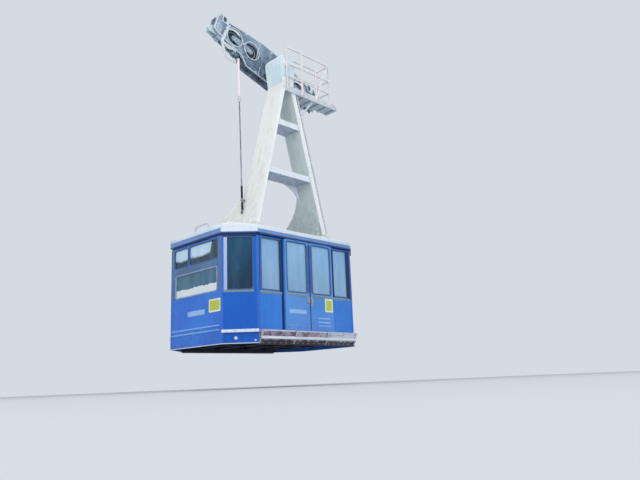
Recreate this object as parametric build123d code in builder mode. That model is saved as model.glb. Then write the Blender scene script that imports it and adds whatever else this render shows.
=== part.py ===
from build123d import *
import os
from math import atan, cos, hypot, radians, sin

os.makedirs("parts", exist_ok=True)

# Aerial tramway cabin hung below its four-wheel track carriage, millimetres, +Z up.
# The origin is the point on the track rope's centre line at the middle of the carriage.
# +X is the uphill way along the rope and +Y is the side that faces away from the tower.

# Rope and running gear, places along and above the rope
rope_slope = 17.5
rope_radius = 25
wheel_radius = 220
wheel_width = 96
wheel_pitch = 560
rocker_station = 850
groove_depth = 12
web_radius = 165
web_half = 30
axle_radius = 28
running_gap = 0.05
rocker_gap = 12
rocker_plate = 20
pivot_radius = 34
frame_gap = 20
frame_plate = 26
frame_top = 690
frame_bottom = -300
window_radius = 228
tie_radius = 28
boss_wall = 38
boss_rise = 14
brake_half = 85
brake_gap = 65
brake_station = rocker_station + wheel_pitch / 2 + wheel_radius + brake_gap + brake_half
frame_overhang = 240
frame_half_length = brake_station + frame_overhang
shoe_gap = 45
brake_rise = 430
guide_reach = frame_half_length + 90
guide_back = brake_station + brake_half + 10
guide_station = guide_back + 40
clevis_station = 975
clevis_drop = 145
clevis_hole = 20

# Pivot pin between the carriage and the hanger
pin_drop = 170
pin_radius = 62
pin_inset = 30
head_boss = 140

# Hanger, levels measured from the cabin's belt line
leg_near = 960
leg_far = 430
leg_thickness = 115
leg_taper = 0.255
foot_half_spread = 1160
foot_level = 1400
foot_top = 1560
foot_inner = -560
head_level = 5250
head_radius = 255
pin_level = 5790
upper_rung_level = 4190
lower_rung_level = 2930
rung_height = 140
gusset_radius = 430
platform_level = 5100
platform_length = 1500
platform_start = -200
deck_far = 610
toe_board = 90
railing_height = 1130
rail_size = 32
ladder_y = 785
ladder_width = 240
ladder_gap = 120
ladder_pitch = 300
rod_y = 440
lever_y = 290
lever_plate = 20

# Cabin body, levels measured from the belt line at the foot of the side windows
half_length = 1990
half_width = 1415
end_flat = 930
side_flat = 1420
wall = 45
wall_bottom = -850
wall_top = 1150
roof_foot = 1200
cant_inset = 12
cant_depth = 48
floor_top = -800
skirt_bottom = -1070
door_half_opening = 710
window_foot = 20
window_head = 1115
window_corner = 50
corner_stiles = (60, 110)
bay_inner_stile = {1: 90, -1: 28}
bay_outer_stile = 80
glass = 6
glass_inset = 20
rib_levels = (-690, -780)
rib_height = 16
bumper_level = -820
bumper_height = 58
bumper_depth = 58

# Doors
door_gap = 12
door_thickness = 40
door_overlap = 20
door_foot = -796
door_head = 1160
door_stile = 45
meeting_stile = 80
centre_gap = 4

# Steps along the sides
step_top = door_foot - 14
step_half_length = side_flat - 2
apron_top_y = half_width + 90
apron_foot_y = half_width - 30
apron_foot = -1100
apron_plate = 8
rubbing_reach = 75
bracket_plate = 14

# Roof
eave = 30
fascia = 140
camber = 125
hip_rise = 25
hip_station = 1500
hatch_half = 330
hatch_y = -60
coaming = 24
seat_gap = 0.5
lid_foot = roof_foot + fascia + camber + 8
hoop_station = 1700
hoop_y = (-450, 90)
hoop_top = 1665
hoop_corner = 90

# Floor
floor_hatch_half = 320
beam_height = 150
beam_width = 60
sill_width = 70

pin_x = pin_drop * sin(radians(rope_slope))
pin_z = -pin_drop * cos(radians(rope_slope))
belt_z = pin_z - pin_level
wheel_axis = rope_radius + wheel_radius - groove_depth
rocker_inner = wheel_width / 2 + rocker_gap
rocker_outer = rocker_inner + rocker_plate
frame_inner = rocker_outer + frame_gap
frame_outer = frame_inner + frame_plate
lean = atan(leg_taper)
inner_width = half_width - wall
inner_length = half_length - wall
shoulder = roof_foot + fascia

rope_plane = Plane(
    origin=(0, 0, 0),
    x_dir=(cos(radians(rope_slope)), 0, sin(radians(rope_slope))),
    z_dir=(0, -1, 0),
)
cross_plane = Plane.YZ.offset(pin_x)


def cabin_point(x, y, z):
    return Vector(pin_x + x, y, belt_z + z)


def level(z):
    return Plane(origin=cabin_point(0, 0, z))


def side_plane(y):
    return Plane(origin=cabin_point(0, y, 0), x_dir=(1, 0, 0), z_dir=(0, -1, 0))


def end_plane(x):
    return Plane(origin=cabin_point(x, 0, 0), x_dir=(0, 1, 0), z_dir=(1, 0, 0))


def save(builder, name):
    builder.part.label = name
    export_step(builder.part, "parts/" + name + ".step")


def block(x_range, y_range, z_range, mode=Mode.ADD):
    """A box in the cabin's own coordinates, each range in either order."""
    ranges = [sorted(pair) for pair in (x_range, y_range, z_range)]
    with Locations(cabin_point(*[(low + high) / 2 for low, high in ranges])):
        Box(*[high - low for low, high in ranges], mode=mode)


def round_bar(start, end, radius):
    a, b = cabin_point(*start), cabin_point(*end)
    with BuildSketch(Plane(origin=a, z_dir=b - a)) as section:
        Circle(radius)
    extrude(section.sketch, amount=(b - a).length)


def flat_bar(start, end, width, depth):
    """A rectangular bar between two points, its width along Y or, on a bar along Y, along X."""
    a, b = cabin_point(*start), cabin_point(*end)
    across = (1, 0, 0) if start[0] == end[0] and start[2] == end[2] else (0, 1, 0)
    with BuildSketch(Plane(origin=a, x_dir=across, z_dir=b - a)) as section:
        Rectangle(width, depth)
    extrude(section.sketch, amount=(b - a).length)


def plan_corners(inset=0):
    """The corners of the cabin's eight-sided plan, moved in by an equal distance from every side."""
    chamfer = hypot(half_length - side_flat, half_width - end_flat)
    run = (half_length - side_flat) / chamfer
    rise = (half_width - end_flat) / chamfer
    end_corner = end_flat - inset * (1 - rise) / run
    side_corner = side_flat - inset * (1 - run) / rise
    quarter = [(half_length - inset, end_corner), (side_corner, half_width - inset)]
    half = quarter + [(-x, y) for x, y in reversed(quarter)]
    return half + [(-x, -y) for x, y in half]


def plan_solid(inset, z_low, z_high, mode=Mode.ADD):
    with BuildSketch(level(z_low)) as plan:
        with BuildLine():
            Polyline(*plan_corners(inset), close=True)
        make_face()
    extrude(plan.sketch, amount=z_high - z_low, mode=mode)


def four_corners():
    for plane in (cross_plane, Plane.XZ):
        mirror(about=plane)


# Carriage

def rope_circle(places, radius, y_low, y_high, mode=Mode.ADD):
    """Round bars across the rope at places given along and above it."""
    with BuildSketch(rope_plane.offset(-y_low)) as section:
        with Locations(*places):
            Circle(radius)
    extrude(section.sketch, amount=-(y_high - y_low), mode=mode)


def rope_block(s_range, n_range, y_low, y_high, mode=Mode.ADD):
    """A box squared up to the rope."""
    with BuildSketch(rope_plane.offset(-y_low)) as section:
        with Locations((sum(s_range) / 2, sum(n_range) / 2)):
            Rectangle(s_range[1] - s_range[0], n_range[1] - n_range[0])
    extrude(section.sketch, amount=-(y_high - y_low), mode=mode)


def carriage_outline():
    """Side of the carriage along and above the rope: deep in the middle, a notch at each brake spring."""
    half = [
        (0, frame_bottom),
        (620, frame_bottom),
        (820, -110),
        (1080, -75),
        (frame_half_length - 140, -10),
        (frame_half_length, 60),
        (frame_half_length, 430),
        (frame_half_length - 50, 570),
        (brake_station + 90, 570),
        (brake_station + 60, 420),
        (brake_station - 60, 420),
        (brake_station - 100, 500),
        (rocker_station, 605),
        (300, frame_top - 10),
        (0, frame_top),
    ]
    mirrored = [(-s, n) for s, n in reversed(half[1:-1])]
    Polyline(*(half + mirrored), close=True)


pin_place = [(0, -pin_drop)]
pivot_places = [(-rocker_station, wheel_axis), (rocker_station, wheel_axis)]
axle_places = [
    (end * rocker_station + side * wheel_pitch / 2, wheel_axis) for end in (-1, 1) for side in (-1, 1)
]

with BuildPart() as carriage_frame:
    for side in (-1, 1):
        with BuildSketch(rope_plane.offset(-side * frame_inner)):
            with BuildLine():
                carriage_outline()
            make_face()
            with Locations(*axle_places):
                Circle(window_radius, mode=Mode.SUBTRACT)
        extrude(amount=-side * frame_plate)
        raised = sorted((side * frame_outer, side * (frame_outer + boss_rise)))
        rope_circle(pin_place, pin_radius + boss_wall, *raised)
        rope_circle(pivot_places, pivot_radius + 12, *raised)
    rope_circle(pin_place, pin_radius, -frame_outer - boss_rise, frame_outer + boss_rise, Mode.SUBTRACT)
save(carriage_frame, "carriage_frame")

with BuildPart() as carriage_ties:
    top_ties = [(0, frame_top - 70)] + [(end * rocker_station, frame_top - 140) for end in (-1, 1)]
    low_ties = [(end * 300, frame_bottom + 50) for end in (-1, 1)]
    end_ties = [(end * (frame_half_length - 80), n) for end in (-1, 1) for n in (215, 500)]
    rope_circle(top_ties + low_ties + end_ties, tie_radius, -frame_inner, frame_inner)
    rope_circle(pivot_places, pivot_radius, -frame_inner, frame_inner)
save(carriage_ties, "carriage_ties")

with BuildPart() as pivot_pin:
    rope_circle(pin_place, pin_radius, -frame_outer - boss_rise - 16, leg_near - pin_inset)
save(pivot_pin, "pivot_pin")

with BuildPart() as rope_brakes:
    for end in (-1, 1):
        middle = end * brake_station
        rope_block((middle - brake_half, middle + brake_half), (30, 210), -frame_inner, frame_inner)
        rope_block((middle - 60, middle + 60), (-85, 85), -frame_inner + 10, frame_inner - 10)
        rope_block((middle - 90, middle + 90), (-115, 35), -shoe_gap, shoe_gap, Mode.SUBTRACT)
        spring_foot = rope_plane.from_local_coords((middle, 210, 0))
        with BuildSketch(Plane(origin=spring_foot, z_dir=rope_plane.y_dir)):
            Circle(58)
        extrude(amount=brake_rise)
save(rope_brakes, "rope_brakes")

with BuildPart() as rope_guides:
    for end in (-1, 1):
        for side in (-1, 1):
            with BuildSketch(rope_plane.offset(side * 60 - 8)):
                with BuildLine():
                    Polyline(
                        (end * guide_back, -30), (end * (guide_reach - 30), -60), (end * guide_reach, 80),
                        (end * (guide_reach - 110), 190), (end * guide_back, 170), close=True,
                    )
                make_face()
            extrude(amount=16)
        rope_circle([(end * (guide_reach - 90), 50 + rope_radius + 12)], 45, -52, 52)
        rope_block((end * guide_station - 30, end * guide_station + 30), (90, 150), -frame_inner, frame_inner)
save(rope_guides, "rope_guides")


def haul_clevis(end):
    """Two ears below the rope that take the haul rope's socket pin."""
    for side in (-1, 1):
        with BuildSketch(rope_plane.offset(side * 45 - 15)) as ear:
            with BuildLine():
                Polyline(
                    (end * (clevis_station - 155), -35), (end * (clevis_station + 35), -35),
                    (end * (clevis_station + 65), -150), (end * (clevis_station + 35), -185),
                    (end * (clevis_station - 45), -185), (end * (clevis_station - 115), -110), close=True,
                )
            make_face()
            with Locations((end * clevis_station, -clevis_drop)):
                Circle(clevis_hole, mode=Mode.SUBTRACT)
        extrude(ear.sketch, amount=30)


with BuildPart() as haul_clevises:
    for end in (-1, 1):
        haul_clevis(end)
        foot = end * (clevis_station - 125)
        rope_block((foot - 45, foot + 45), (-55, -29), -frame_inner, frame_inner)
save(haul_clevises, "haul_clevises")

# Lever of the emergency brake, its two prongs reaching back to the pull rod beside the hanger
with BuildPart() as brake_lever:
    with BuildSketch(side_plane(lever_y - lever_plate / 2)):
        with BuildLine():
            Polyline(
                (1210, 6650), (1290, 6650), (1510, 6150), (1500, 6080), (1390, 5725), (1060, 5690),
                (1060, 5735), (1345, 5775), (1430, 6085), (1060, 5990), (1060, 6040), (1435, 6150),
                close=True,
            )
        make_face()
    extrude(amount=-lever_plate)
    round_bar((1250, frame_outer, 6635), (1250, lever_y, 6635), 22)
save(brake_lever, "brake_lever")


def rocker_outline(middle):
    """A lozenge, deep at its pivot and blunt round both axles."""
    reach = wheel_pitch / 2
    corner = [(reach + 65, 30), (reach + 30, 62), (75, 98)]
    upper = corner + [(-s, n) for s, n in reversed(corner)]
    lower = [(-s, -n) for s, n in upper]
    Polyline(*[(middle + s, wheel_axis + n) for s, n in upper + lower], close=True)


def rocker(end):
    with BuildPart() as piece:
        for side in (-1, 1):
            start = rocker_inner if side < 0 else -rocker_outer
            with BuildSketch(rope_plane.offset(start)):
                with BuildLine():
                    rocker_outline(end * rocker_station)
                make_face()
                with Locations((end * rocker_station, wheel_axis)):
                    Circle(pivot_radius + running_gap, mode=Mode.SUBTRACT)
            extrude(amount=rocker_plate)
        axles = [(end * rocker_station + k * wheel_pitch / 2, wheel_axis) for k in (-1, 1)]
        rope_circle(axles, axle_radius, -rocker_outer - 8, rocker_outer + 8)
    return piece


for end, name in {1: "rocker_front", -1: "rocker_rear"}.items():
    save(rocker(end), name)


def wheel(place):
    """A rope wheel turned about its axle: stepped rope groove and a web set back on both sides."""
    rim_half = wheel_width / 2
    groove_half = rope_radius + 3
    tread = wheel_radius - groove_depth
    bore = axle_radius + running_gap
    half = [
        (bore, web_half), (web_radius, web_half), (web_radius, rim_half), (wheel_radius, rim_half),
        (wheel_radius, groove_half), (tread, groove_half),
    ]
    mirrored = [(r, -y) for r, y in reversed(half)]
    with BuildPart() as piece:
        with BuildSketch(Plane(origin=place, x_dir=rope_plane.y_dir, z_dir=rope_plane.x_dir)):
            with BuildLine():
                Polyline(*(half + mirrored), close=True)
            make_face()
        revolve(axis=Axis(place, (0, 1, 0)))
    return piece


wheel_names = ("wheel_1", "wheel_2", "wheel_3", "wheel_4")
for name, place in zip(wheel_names, reversed(axle_places)):
    save(wheel(rope_plane.from_local_coords((*place, 0))), name)

# Roof, eight-sided with an upright fascia and a top that arches across the cabin
with BuildPart() as roof_shell:
    plan_solid(-eave, roof_foot, shoulder + camber)
    reach = half_width + eave
    with BuildSketch(end_plane(-half_length - 100)) as arch:
        with BuildLine():
            ThreePointArc((-reach, shoulder), (0, shoulder + camber), (reach, shoulder))
            Polyline((reach, shoulder), (reach, roof_foot), (-reach, roof_foot), (-reach, shoulder))
        make_face()
    extrude(arch.sketch, amount=2 * half_length + 200, mode=Mode.INTERSECT)
    end_reach = half_length + eave
    with BuildSketch(side_plane(-reach)) as hip:
        with BuildLine():
            Polyline(
                (-end_reach, roof_foot), (-end_reach, shoulder + hip_rise), (-hip_station, shoulder + camber),
                (hip_station, shoulder + camber), (end_reach, shoulder + hip_rise), (end_reach, roof_foot),
                close=True,
            )
        make_face()
    extrude(hip.sketch, amount=-2 * reach, mode=Mode.INTERSECT)
    rim = hatch_half + coaming
    block((-rim, rim), (hatch_y - rim, hatch_y + rim), (shoulder, lid_foot - seat_gap))
    block(
        (-hatch_half, hatch_half), (hatch_y - hatch_half, hatch_y + hatch_half),
        (roof_foot - 5, lid_foot + 100), Mode.SUBTRACT,
    )
save(roof_shell, "roof_shell")

with BuildPart() as roof_hatch:
    lid_half = hatch_half + 30
    plug = hatch_half - 8
    block((-lid_half, lid_half), (hatch_y - lid_half, hatch_y + lid_half), (lid_foot, lid_foot + 30))
    chamfer(edges().filter_by(Axis.Z), length=40)
    block((-plug, plug), (hatch_y - plug, hatch_y + plug), (lid_foot - 40, lid_foot))
save(roof_hatch, "roof_hatch")

# Hoops at both ends of the roof to hold on to when climbing out
with BuildPart() as roof_rails:
    hoop_width = hoop_y[1] - hoop_y[0]
    hoop_height = 2 * (hoop_top - shoulder)
    for end in (-1, 1):
        with BuildSketch(end_plane(end * hoop_station - rail_size / 2)):
            with Locations((sum(hoop_y) / 2, hoop_top - hoop_height / 2)):
                RectangleRounded(hoop_width, hoop_height, hoop_corner)
                RectangleRounded(
                    hoop_width - 2 * rail_size, hoop_height - 2 * rail_size, hoop_corner - rail_size,
                    mode=Mode.SUBTRACT,
                )
        extrude(amount=rail_size)
    block((-half_length, half_length), (-half_width, half_width), (0, shoulder), Mode.SUBTRACT)
    add(roof_shell.part, mode=Mode.SUBTRACT)
save(roof_rails, "roof_rails")

# Hanger
leg_plane = Plane(
    origin=cabin_point(foot_half_spread, 0, foot_level),
    x_dir=(0, 1, 0),
    z_dir=(cos(lean), 0, sin(lean)),
)


def on_leg(y, z):
    return (y, (z - foot_level) / cos(lean))


def leg_outer(z):
    return foot_half_spread - leg_taper * (z - foot_level)


with BuildPart() as hanger_leg_front:
    with BuildSketch(leg_plane):
        with BuildLine():
            near = Line(on_leg(leg_near, foot_top - 60), on_leg(leg_near, head_level + 60))
            top = Line(near @ 1, on_leg(leg_far, head_level + 60))
            far = Line(top @ 1, on_leg(leg_far, 2950))
            knee = TangentArc(far @ 1, on_leg(180, 2300), tangent=(0, -1))
            sweep_out = TangentArc(knee @ 1, on_leg(-450, 1900), tangent=knee % 1)
            Polyline(sweep_out @ 1, on_leg(foot_inner, 1860), on_leg(foot_inner, foot_top - 60), near @ 0)
        make_face()
    extrude(amount=-leg_thickness)
    block((0, 2000), (-1000, 2000), (foot_top - 400, foot_top), Mode.SUBTRACT)
    block((-500, 2000), (-1000, 2000), (head_level, head_level + 400), Mode.SUBTRACT)
save(hanger_leg_front, "hanger_leg_front")

with BuildPart() as hanger_leg_rear:
    mirror(hanger_leg_front.part, about=cross_plane)
save(hanger_leg_rear, "hanger_leg_rear")

with BuildPart() as hanger_head:
    with BuildSketch(side_plane(leg_far)):
        head_half = leg_outer(head_level)
        with BuildLine():
            Polyline(
                (-head_half, head_level), (head_half, head_level), (head_half + 10, head_level + 330),
                (-head_half - 10, head_level + 330), close=True,
            )
        make_face()
        with Locations((0, pin_level)):
            Circle(head_radius)
        make_hull()
    extrude(amount=-(leg_near - leg_far))
    for y_low, depth in ((leg_far - 60, 60), (leg_near, 15)):
        with BuildSketch(side_plane(y_low)):
            with Locations((0, pin_level)):
                Circle(head_boss)
        extrude(amount=-depth)
    with BuildSketch(side_plane(leg_far - 60)):
        with Locations((0, pin_level)):
            Circle(pin_radius + running_gap)
    extrude(amount=-(leg_near - pin_inset + 6 - (leg_far - 60)), mode=Mode.SUBTRACT)
save(hanger_head, "hanger_head")


def rung(z):
    reach = leg_outer(z) - leg_thickness / 2
    block((-reach, reach), (leg_far + 20, leg_near - 20), (z - rung_height / 2, z + rung_height / 2))


with BuildPart() as hanger_rungs:
    rung(upper_rung_level)
    rung(lower_rung_level)
    under = lower_rung_level - rung_height / 2
    with BuildSketch(side_plane(leg_far)):
        for side in (-1, 1):
            corner = side * (leg_outer(under) - leg_thickness / cos(lean))
            with BuildLine():
                a = (corner - side * gusset_radius, under)
                b = (corner + side * leg_taper * gusset_radius, under - gusset_radius)
                ThreePointArc(a, (corner - side * 0.25 * gusset_radius, under - 0.30 * gusset_radius), b)
                Polyline(b, (b[0] + side * 60, under - gusset_radius), (corner + side * 60, under), a)
            make_face()
    extrude(amount=-24)
    add(hanger_leg_front.part, mode=Mode.SUBTRACT)
    add(hanger_leg_rear.part, mode=Mode.SUBTRACT)
save(hanger_rungs, "hanger_rungs")

with BuildPart() as hanger_feet:
    foot_x = leg_outer(foot_top) - leg_thickness / 2
    for end in (-1, 1):
        x_range = (end * foot_x - 120, end * foot_x + 120)
        block(x_range, (foot_inner - 60, leg_near + 60), (shoulder - 20, foot_top))
    add(roof_shell.part, mode=Mode.SUBTRACT)
save(hanger_feet, "hanger_feet")

deck_end = platform_start - platform_length
deck_near = leg_near + 40
with BuildPart() as service_platform:
    board_levels = (platform_level - 60, platform_level + toe_board)
    block((deck_end, platform_start), (deck_far, deck_near), (platform_level - 40, platform_level))
    block((deck_end, 110), (leg_near, deck_near), board_levels)
    block((deck_end, deck_end + 12), (deck_far, deck_near), board_levels)
    for y in (deck_far + 20, leg_near - 20):
        strut_foot = (-leg_outer(4450) - 6, y, 4450)
        flat_bar(strut_foot, (platform_start - 660, y, platform_level - 30), 40, 40)
    add(hanger_leg_rear.part, mode=Mode.SUBTRACT)
    add(hanger_head.part, mode=Mode.SUBTRACT)
save(service_platform, "service_platform")

with BuildPart() as platform_railing:
    rail_near = deck_near + rail_size / 2
    rail_far = deck_far + rail_size / 2
    rail_end = deck_end + 290
    rail_start = 60
    far_start = platform_start - 140
    rail_top = platform_level + railing_height
    for x in (rail_start, -430, -920, rail_end):
        flat_bar((x, rail_near, platform_level - 40), (x, rail_near, rail_top), rail_size, rail_size)
    for x in (far_start, -835, rail_end):
        flat_bar((x, rail_far, platform_level), (x, rail_far, rail_top), rail_size, rail_size)
    for z in (platform_level + 340, platform_level + 680, rail_top - rail_size / 2):
        flat_bar((rail_start, rail_near, z), (rail_end, rail_near, z), rail_size, rail_size)
        flat_bar((far_start, rail_far, z), (rail_end, rail_far, z), rail_size, rail_size)
        flat_bar((rail_end, rail_far, z), (rail_end, rail_near, z), rail_size, rail_size)
    brace = [(rail_end + 30, rail_near, rail_top - 40), (rail_end + 510, rail_near, platform_level)]
    flat_bar(*brace, rail_size, rail_size)
save(platform_railing, "platform_railing")

with BuildPart() as hanger_ladder:
    ladder_foot = 1640
    ladder_top = platform_level - 60
    stiles = (ladder_y - ladder_width / 2, ladder_y + ladder_width / 2)
    for y in stiles:
        foot, top = [(-leg_outer(z) - ladder_gap, y, z) for z in (ladder_foot, ladder_top)]
        flat_bar(foot, top, 14, 44)
        for z in (1900, 3400, 4700):
            flat_bar((-leg_outer(z) + 20, y, z), (-leg_outer(z) - ladder_gap, y, z), 14, 30)
    for k in range(int((ladder_top - ladder_foot) / ladder_pitch)):
        z = ladder_foot + ladder_pitch * (k + 0.5)
        x = -leg_outer(z) - ladder_gap
        flat_bar((x, stiles[0], z), (x, stiles[1], z), 22, 22)
    add(hanger_leg_rear.part, mode=Mode.SUBTRACT)
save(hanger_ladder, "hanger_ladder")

# Pull rod of the emergency brake, which stands on two brackets of the front leg
with BuildPart() as brake_rod:
    rod_foot = (1040, rod_y, 1900)
    rod_joint = (1090, rod_y, 4700)
    rod_head = (1110, rod_y, 5720)
    round_bar(rod_foot, rod_joint, 14)
    round_bar(rod_joint, rod_head, 28)
    for levels in ((1880, 1960), (2180, 2230)):
        block((880, rod_foot[0] + 35), (rod_y - 15, rod_y + 15), levels)
    add(hanger_leg_front.part, mode=Mode.SUBTRACT)
save(brake_rod, "brake_rod")

# Cabin walls, upright panels that are mitred where they meet at a plan corner
outer_plan = plan_corners()
inner_plan = plan_corners(wall)


def wall_panel(first, second, z_low):
    with BuildSketch(level(z_low)) as plan:
        with BuildLine():
            Polyline(outer_plan[first], outer_plan[second], inner_plan[second], inner_plan[first], close=True)
        make_face()
    extrude(plan.sketch, amount=wall_top - z_low)


def window_sketch(x_range, z_range, corner=window_corner, mode=Mode.ADD):
    low, high = sorted(x_range)
    with Locations(((low + high) / 2, sum(z_range) / 2)):
        RectangleRounded(high - low, z_range[1] - z_range[0], corner, mode=mode)


# Each end window as its reach across the cabin, at the front, and its levels
end_windows = [
    ((-750, 780), (30, 530)),
    ((-800, -275), (700, window_head)),
    ((-225, 800), (700, window_head)),
]


def end_window_sketches(turn):
    for (y_low, y_high), z_range in end_windows:
        window_sketch((turn * y_low, turn * y_high), z_range)


def end_wall(end):
    first, second = (7, 0) if end > 0 else (3, 4)
    with BuildPart() as piece:
        wall_panel(first, second, skirt_bottom)
        with BuildSketch(end_plane(end * inner_length)):
            end_window_sketches(end)
        extrude(amount=end * wall, mode=Mode.SUBTRACT)
    return piece


save(end_wall(1), "end_wall_front")
save(end_wall(-1), "end_wall_rear")

with BuildPart() as end_glass:
    for end in (-1, 1):
        with BuildSketch(end_plane(end * (half_length - glass_inset))):
            end_window_sketches(end)
        extrude(amount=-end * glass)
save(end_glass, "end_glass")

# Pressed ribs across the lower end panels
with BuildPart() as end_ledges:
    for end in (-1, 1):
        for z in rib_levels:
            rib_x = (end * half_length, end * (half_length + rib_height))
            block(rib_x, (60 - end_flat, end_flat - 60), (z - rib_height, z + rib_height))
save(end_ledges, "end_ledges")

chamfer_length = hypot(half_length - side_flat, half_width - end_flat)
chamfer_plane = Plane(
    origin=cabin_point((half_length + side_flat) / 2, (half_width + end_flat) / 2, 0),
    x_dir=(-(half_length - side_flat), half_width - end_flat, 0),
    z_dir=(half_width - end_flat, half_length - side_flat, 0),
)
corner_window = (
    (corner_stiles[0] - chamfer_length / 2, chamfer_length / 2 - corner_stiles[1]),
    (window_foot, window_head),
)

with BuildPart() as corner_panels:
    wall_panel(0, 1, skirt_bottom)
    with BuildSketch(chamfer_plane):
        window_sketch(*corner_window)
    extrude(amount=-wall, mode=Mode.SUBTRACT)
    four_corners()
save(corner_panels, "corner_panels")

with BuildPart() as corner_glass:
    with BuildSketch(chamfer_plane.offset(-glass_inset)):
        window_sketch(*corner_window)
    extrude(amount=-glass)
    four_corners()
save(corner_glass, "corner_glass")

# Rubbing strakes that keep the corners off the landing's edge
with BuildPart() as corner_bumpers:
    strake_levels = (bumper_level - bumper_height / 2, bumper_level + bumper_height / 2)
    with BuildSketch(chamfer_plane):
        with Locations((0, sum(strake_levels) / 2)):
            Rectangle(chamfer_length, bumper_height)
    extrude(amount=bumper_depth)
    four_corners()
save(corner_bumpers, "corner_bumpers")


def bay_windows():
    """The windows beside the doorway, the uphill one set further from the door."""
    for end, stile in bay_inner_stile.items():
        reach = (end * (door_half_opening + stile), end * (side_flat - bay_outer_stile))
        window_sketch(reach, (window_foot, window_head))


with BuildPart() as side_bays:
    wall_panel(1, 2, wall_bottom)
    block((-door_half_opening, door_half_opening), (0, 2000), (-2000, 2000), Mode.SUBTRACT)
    with BuildSketch(side_plane(inner_width)):
        bay_windows()
    extrude(amount=-wall, mode=Mode.SUBTRACT)
    mirror(about=Plane.XZ)
save(side_bays, "side_bays")

with BuildPart() as side_glass:
    with BuildSketch(side_plane(half_width - glass_inset)):
        bay_windows()
    extrude(amount=glass)
    mirror(about=Plane.XZ)
save(side_glass, "side_glass")

# Ring of rail between the wall panels and the roof, set back like a gutter
with BuildPart() as cant_rail:
    plan_solid(cant_inset, wall_top, roof_foot)
    plan_solid(cant_inset + cant_depth, wall_top, roof_foot, Mode.SUBTRACT)
save(cant_rail, "cant_rail")

# Header over each doorway with the track that the leaves hang in
track_outer = half_width + door_gap + door_thickness + 8
track_foot = door_head + 8
groove_y = half_width + door_gap + door_thickness / 2
with BuildPart() as door_headers:
    block((-door_half_opening, door_half_opening), (inner_width, half_width), (window_head, wall_top))
    block((-side_flat, side_flat), (half_width - cant_inset, track_outer), (track_foot, roof_foot))
    groove = [(-side_flat, side_flat), (groove_y - 11, groove_y + 11), (track_foot, track_foot + 16)]
    block(*groove, Mode.SUBTRACT)
    mirror(about=Plane.XZ)
save(door_headers, "door_headers")

# Step along each side: a ledge, a sloping apron below it, brackets and a rubbing bar
with BuildPart() as side_steps:
    apron_half = step_half_length - bracket_plate
    step_ends = (-step_half_length, step_half_length)
    block(step_ends, (half_width, apron_top_y), (step_top - 18, step_top))
    with BuildSketch(end_plane(-apron_half)):
        with BuildLine():
            Polyline(
                (apron_top_y, step_top), (apron_foot_y, apron_foot), (apron_foot_y - apron_plate, apron_foot),
                (apron_top_y - apron_plate, step_top), close=True,
            )
        make_face()
    extrude(amount=2 * apron_half)
    for place in (-1, -0.34, 0.34, 1):
        x = place * (step_half_length - bracket_plate / 2)
        with BuildSketch(end_plane(x - bracket_plate / 2)):
            with BuildLine():
                Polyline(
                    (half_width, step_top - 18), (apron_top_y + 35, step_top),
                    (apron_top_y + 35, step_top - 50), (half_width + 10, apron_foot + 20),
                    (half_width, apron_foot + 20), close=True,
                )
            make_face()
        extrude(amount=bracket_plate)
        if abs(place) < 1:
            plate = (x - bracket_plate / 2, x + bracket_plate / 2)
            block(plate, (inner_width, half_width), (apron_foot + 30, wall_bottom - 2))
    block(step_ends, (half_width + 25, half_width + rubbing_reach), (-985, -935))
    mirror(about=Plane.XZ)
save(side_steps, "side_steps")


def door_leaf(side, end):
    """Outside-hung leaf with its window cut and the tongue that hangs it in the track."""
    leaf_x = (end * centre_gap, end * (door_half_opening + door_overlap))
    window_x = (end * (centre_gap + meeting_stile), end * (door_half_opening - door_stile))
    with BuildPart() as piece:
        with BuildSketch(side_plane(side * (half_width + door_gap))):
            window_sketch(leaf_x, (door_foot, door_head), 30)
            window_sketch(window_x, (window_foot, window_head), mode=Mode.SUBTRACT)
        extrude(amount=-side * door_thickness)
        tongue_y = side * groove_y
        block(
            (leaf_x[0] + end * 60, leaf_x[1] - end * 60), (tongue_y - 6, tongue_y + 6),
            (door_head - 5, track_foot + 10),
        )
    return piece


def door_pane(side, end):
    window_x = (end * (centre_gap + meeting_stile), end * (door_half_opening - door_stile))
    with BuildPart() as piece:
        with BuildSketch(side_plane(side * (half_width + door_gap + 16))):
            window_sketch(window_x, (window_foot, window_head))
        extrude(amount=-side * glass)
    return piece


door_names = {
    (1, 1): "near_front", (1, -1): "near_rear", (-1, 1): "far_front", (-1, -1): "far_rear",
}
for (side, end), name in door_names.items():
    save(door_leaf(side, end), "door_" + name)
    save(door_pane(side, end), "door_glass_" + name)

# Floor and underframe
with BuildPart() as floor_deck:
    plan_solid(wall, wall_bottom, floor_top)
    hatch_range = (-floor_hatch_half, floor_hatch_half)
    block(hatch_range, hatch_range, (wall_bottom - 5, floor_top + 5), Mode.SUBTRACT)
    doorway = (-door_half_opening, door_half_opening)
    for side in (-1, 1):
        block(doorway, (side * inner_width, side * half_width), (wall_bottom, floor_top))
save(floor_deck, "floor_deck")

with BuildPart() as floor_hatch:
    lid = floor_hatch_half - 6
    flange = lid + 24
    block((-lid, lid), (-lid, lid), (wall_bottom + 10, floor_top + seat_gap))
    block((-flange, flange), (-flange, flange), (floor_top + seat_gap, floor_top + 8))
save(floor_hatch, "floor_hatch")

with BuildPart() as underframe:
    beam_levels = (wall_bottom - beam_height, wall_bottom)
    for x in (-1500, -1000, -420, 420, 1000, 1500):
        beam_reach = inner_width - sill_width
        block((x - beam_width / 2, x + beam_width / 2), (-beam_reach, beam_reach), beam_levels)
    for y in (-420, 420):
        block((-inner_length, inner_length), (y - beam_width / 2, y + beam_width / 2), beam_levels)
    plan_solid(wall, wall_bottom - beam_height - 5, wall_bottom, Mode.INTERSECT)
save(underframe, "underframe")

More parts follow.
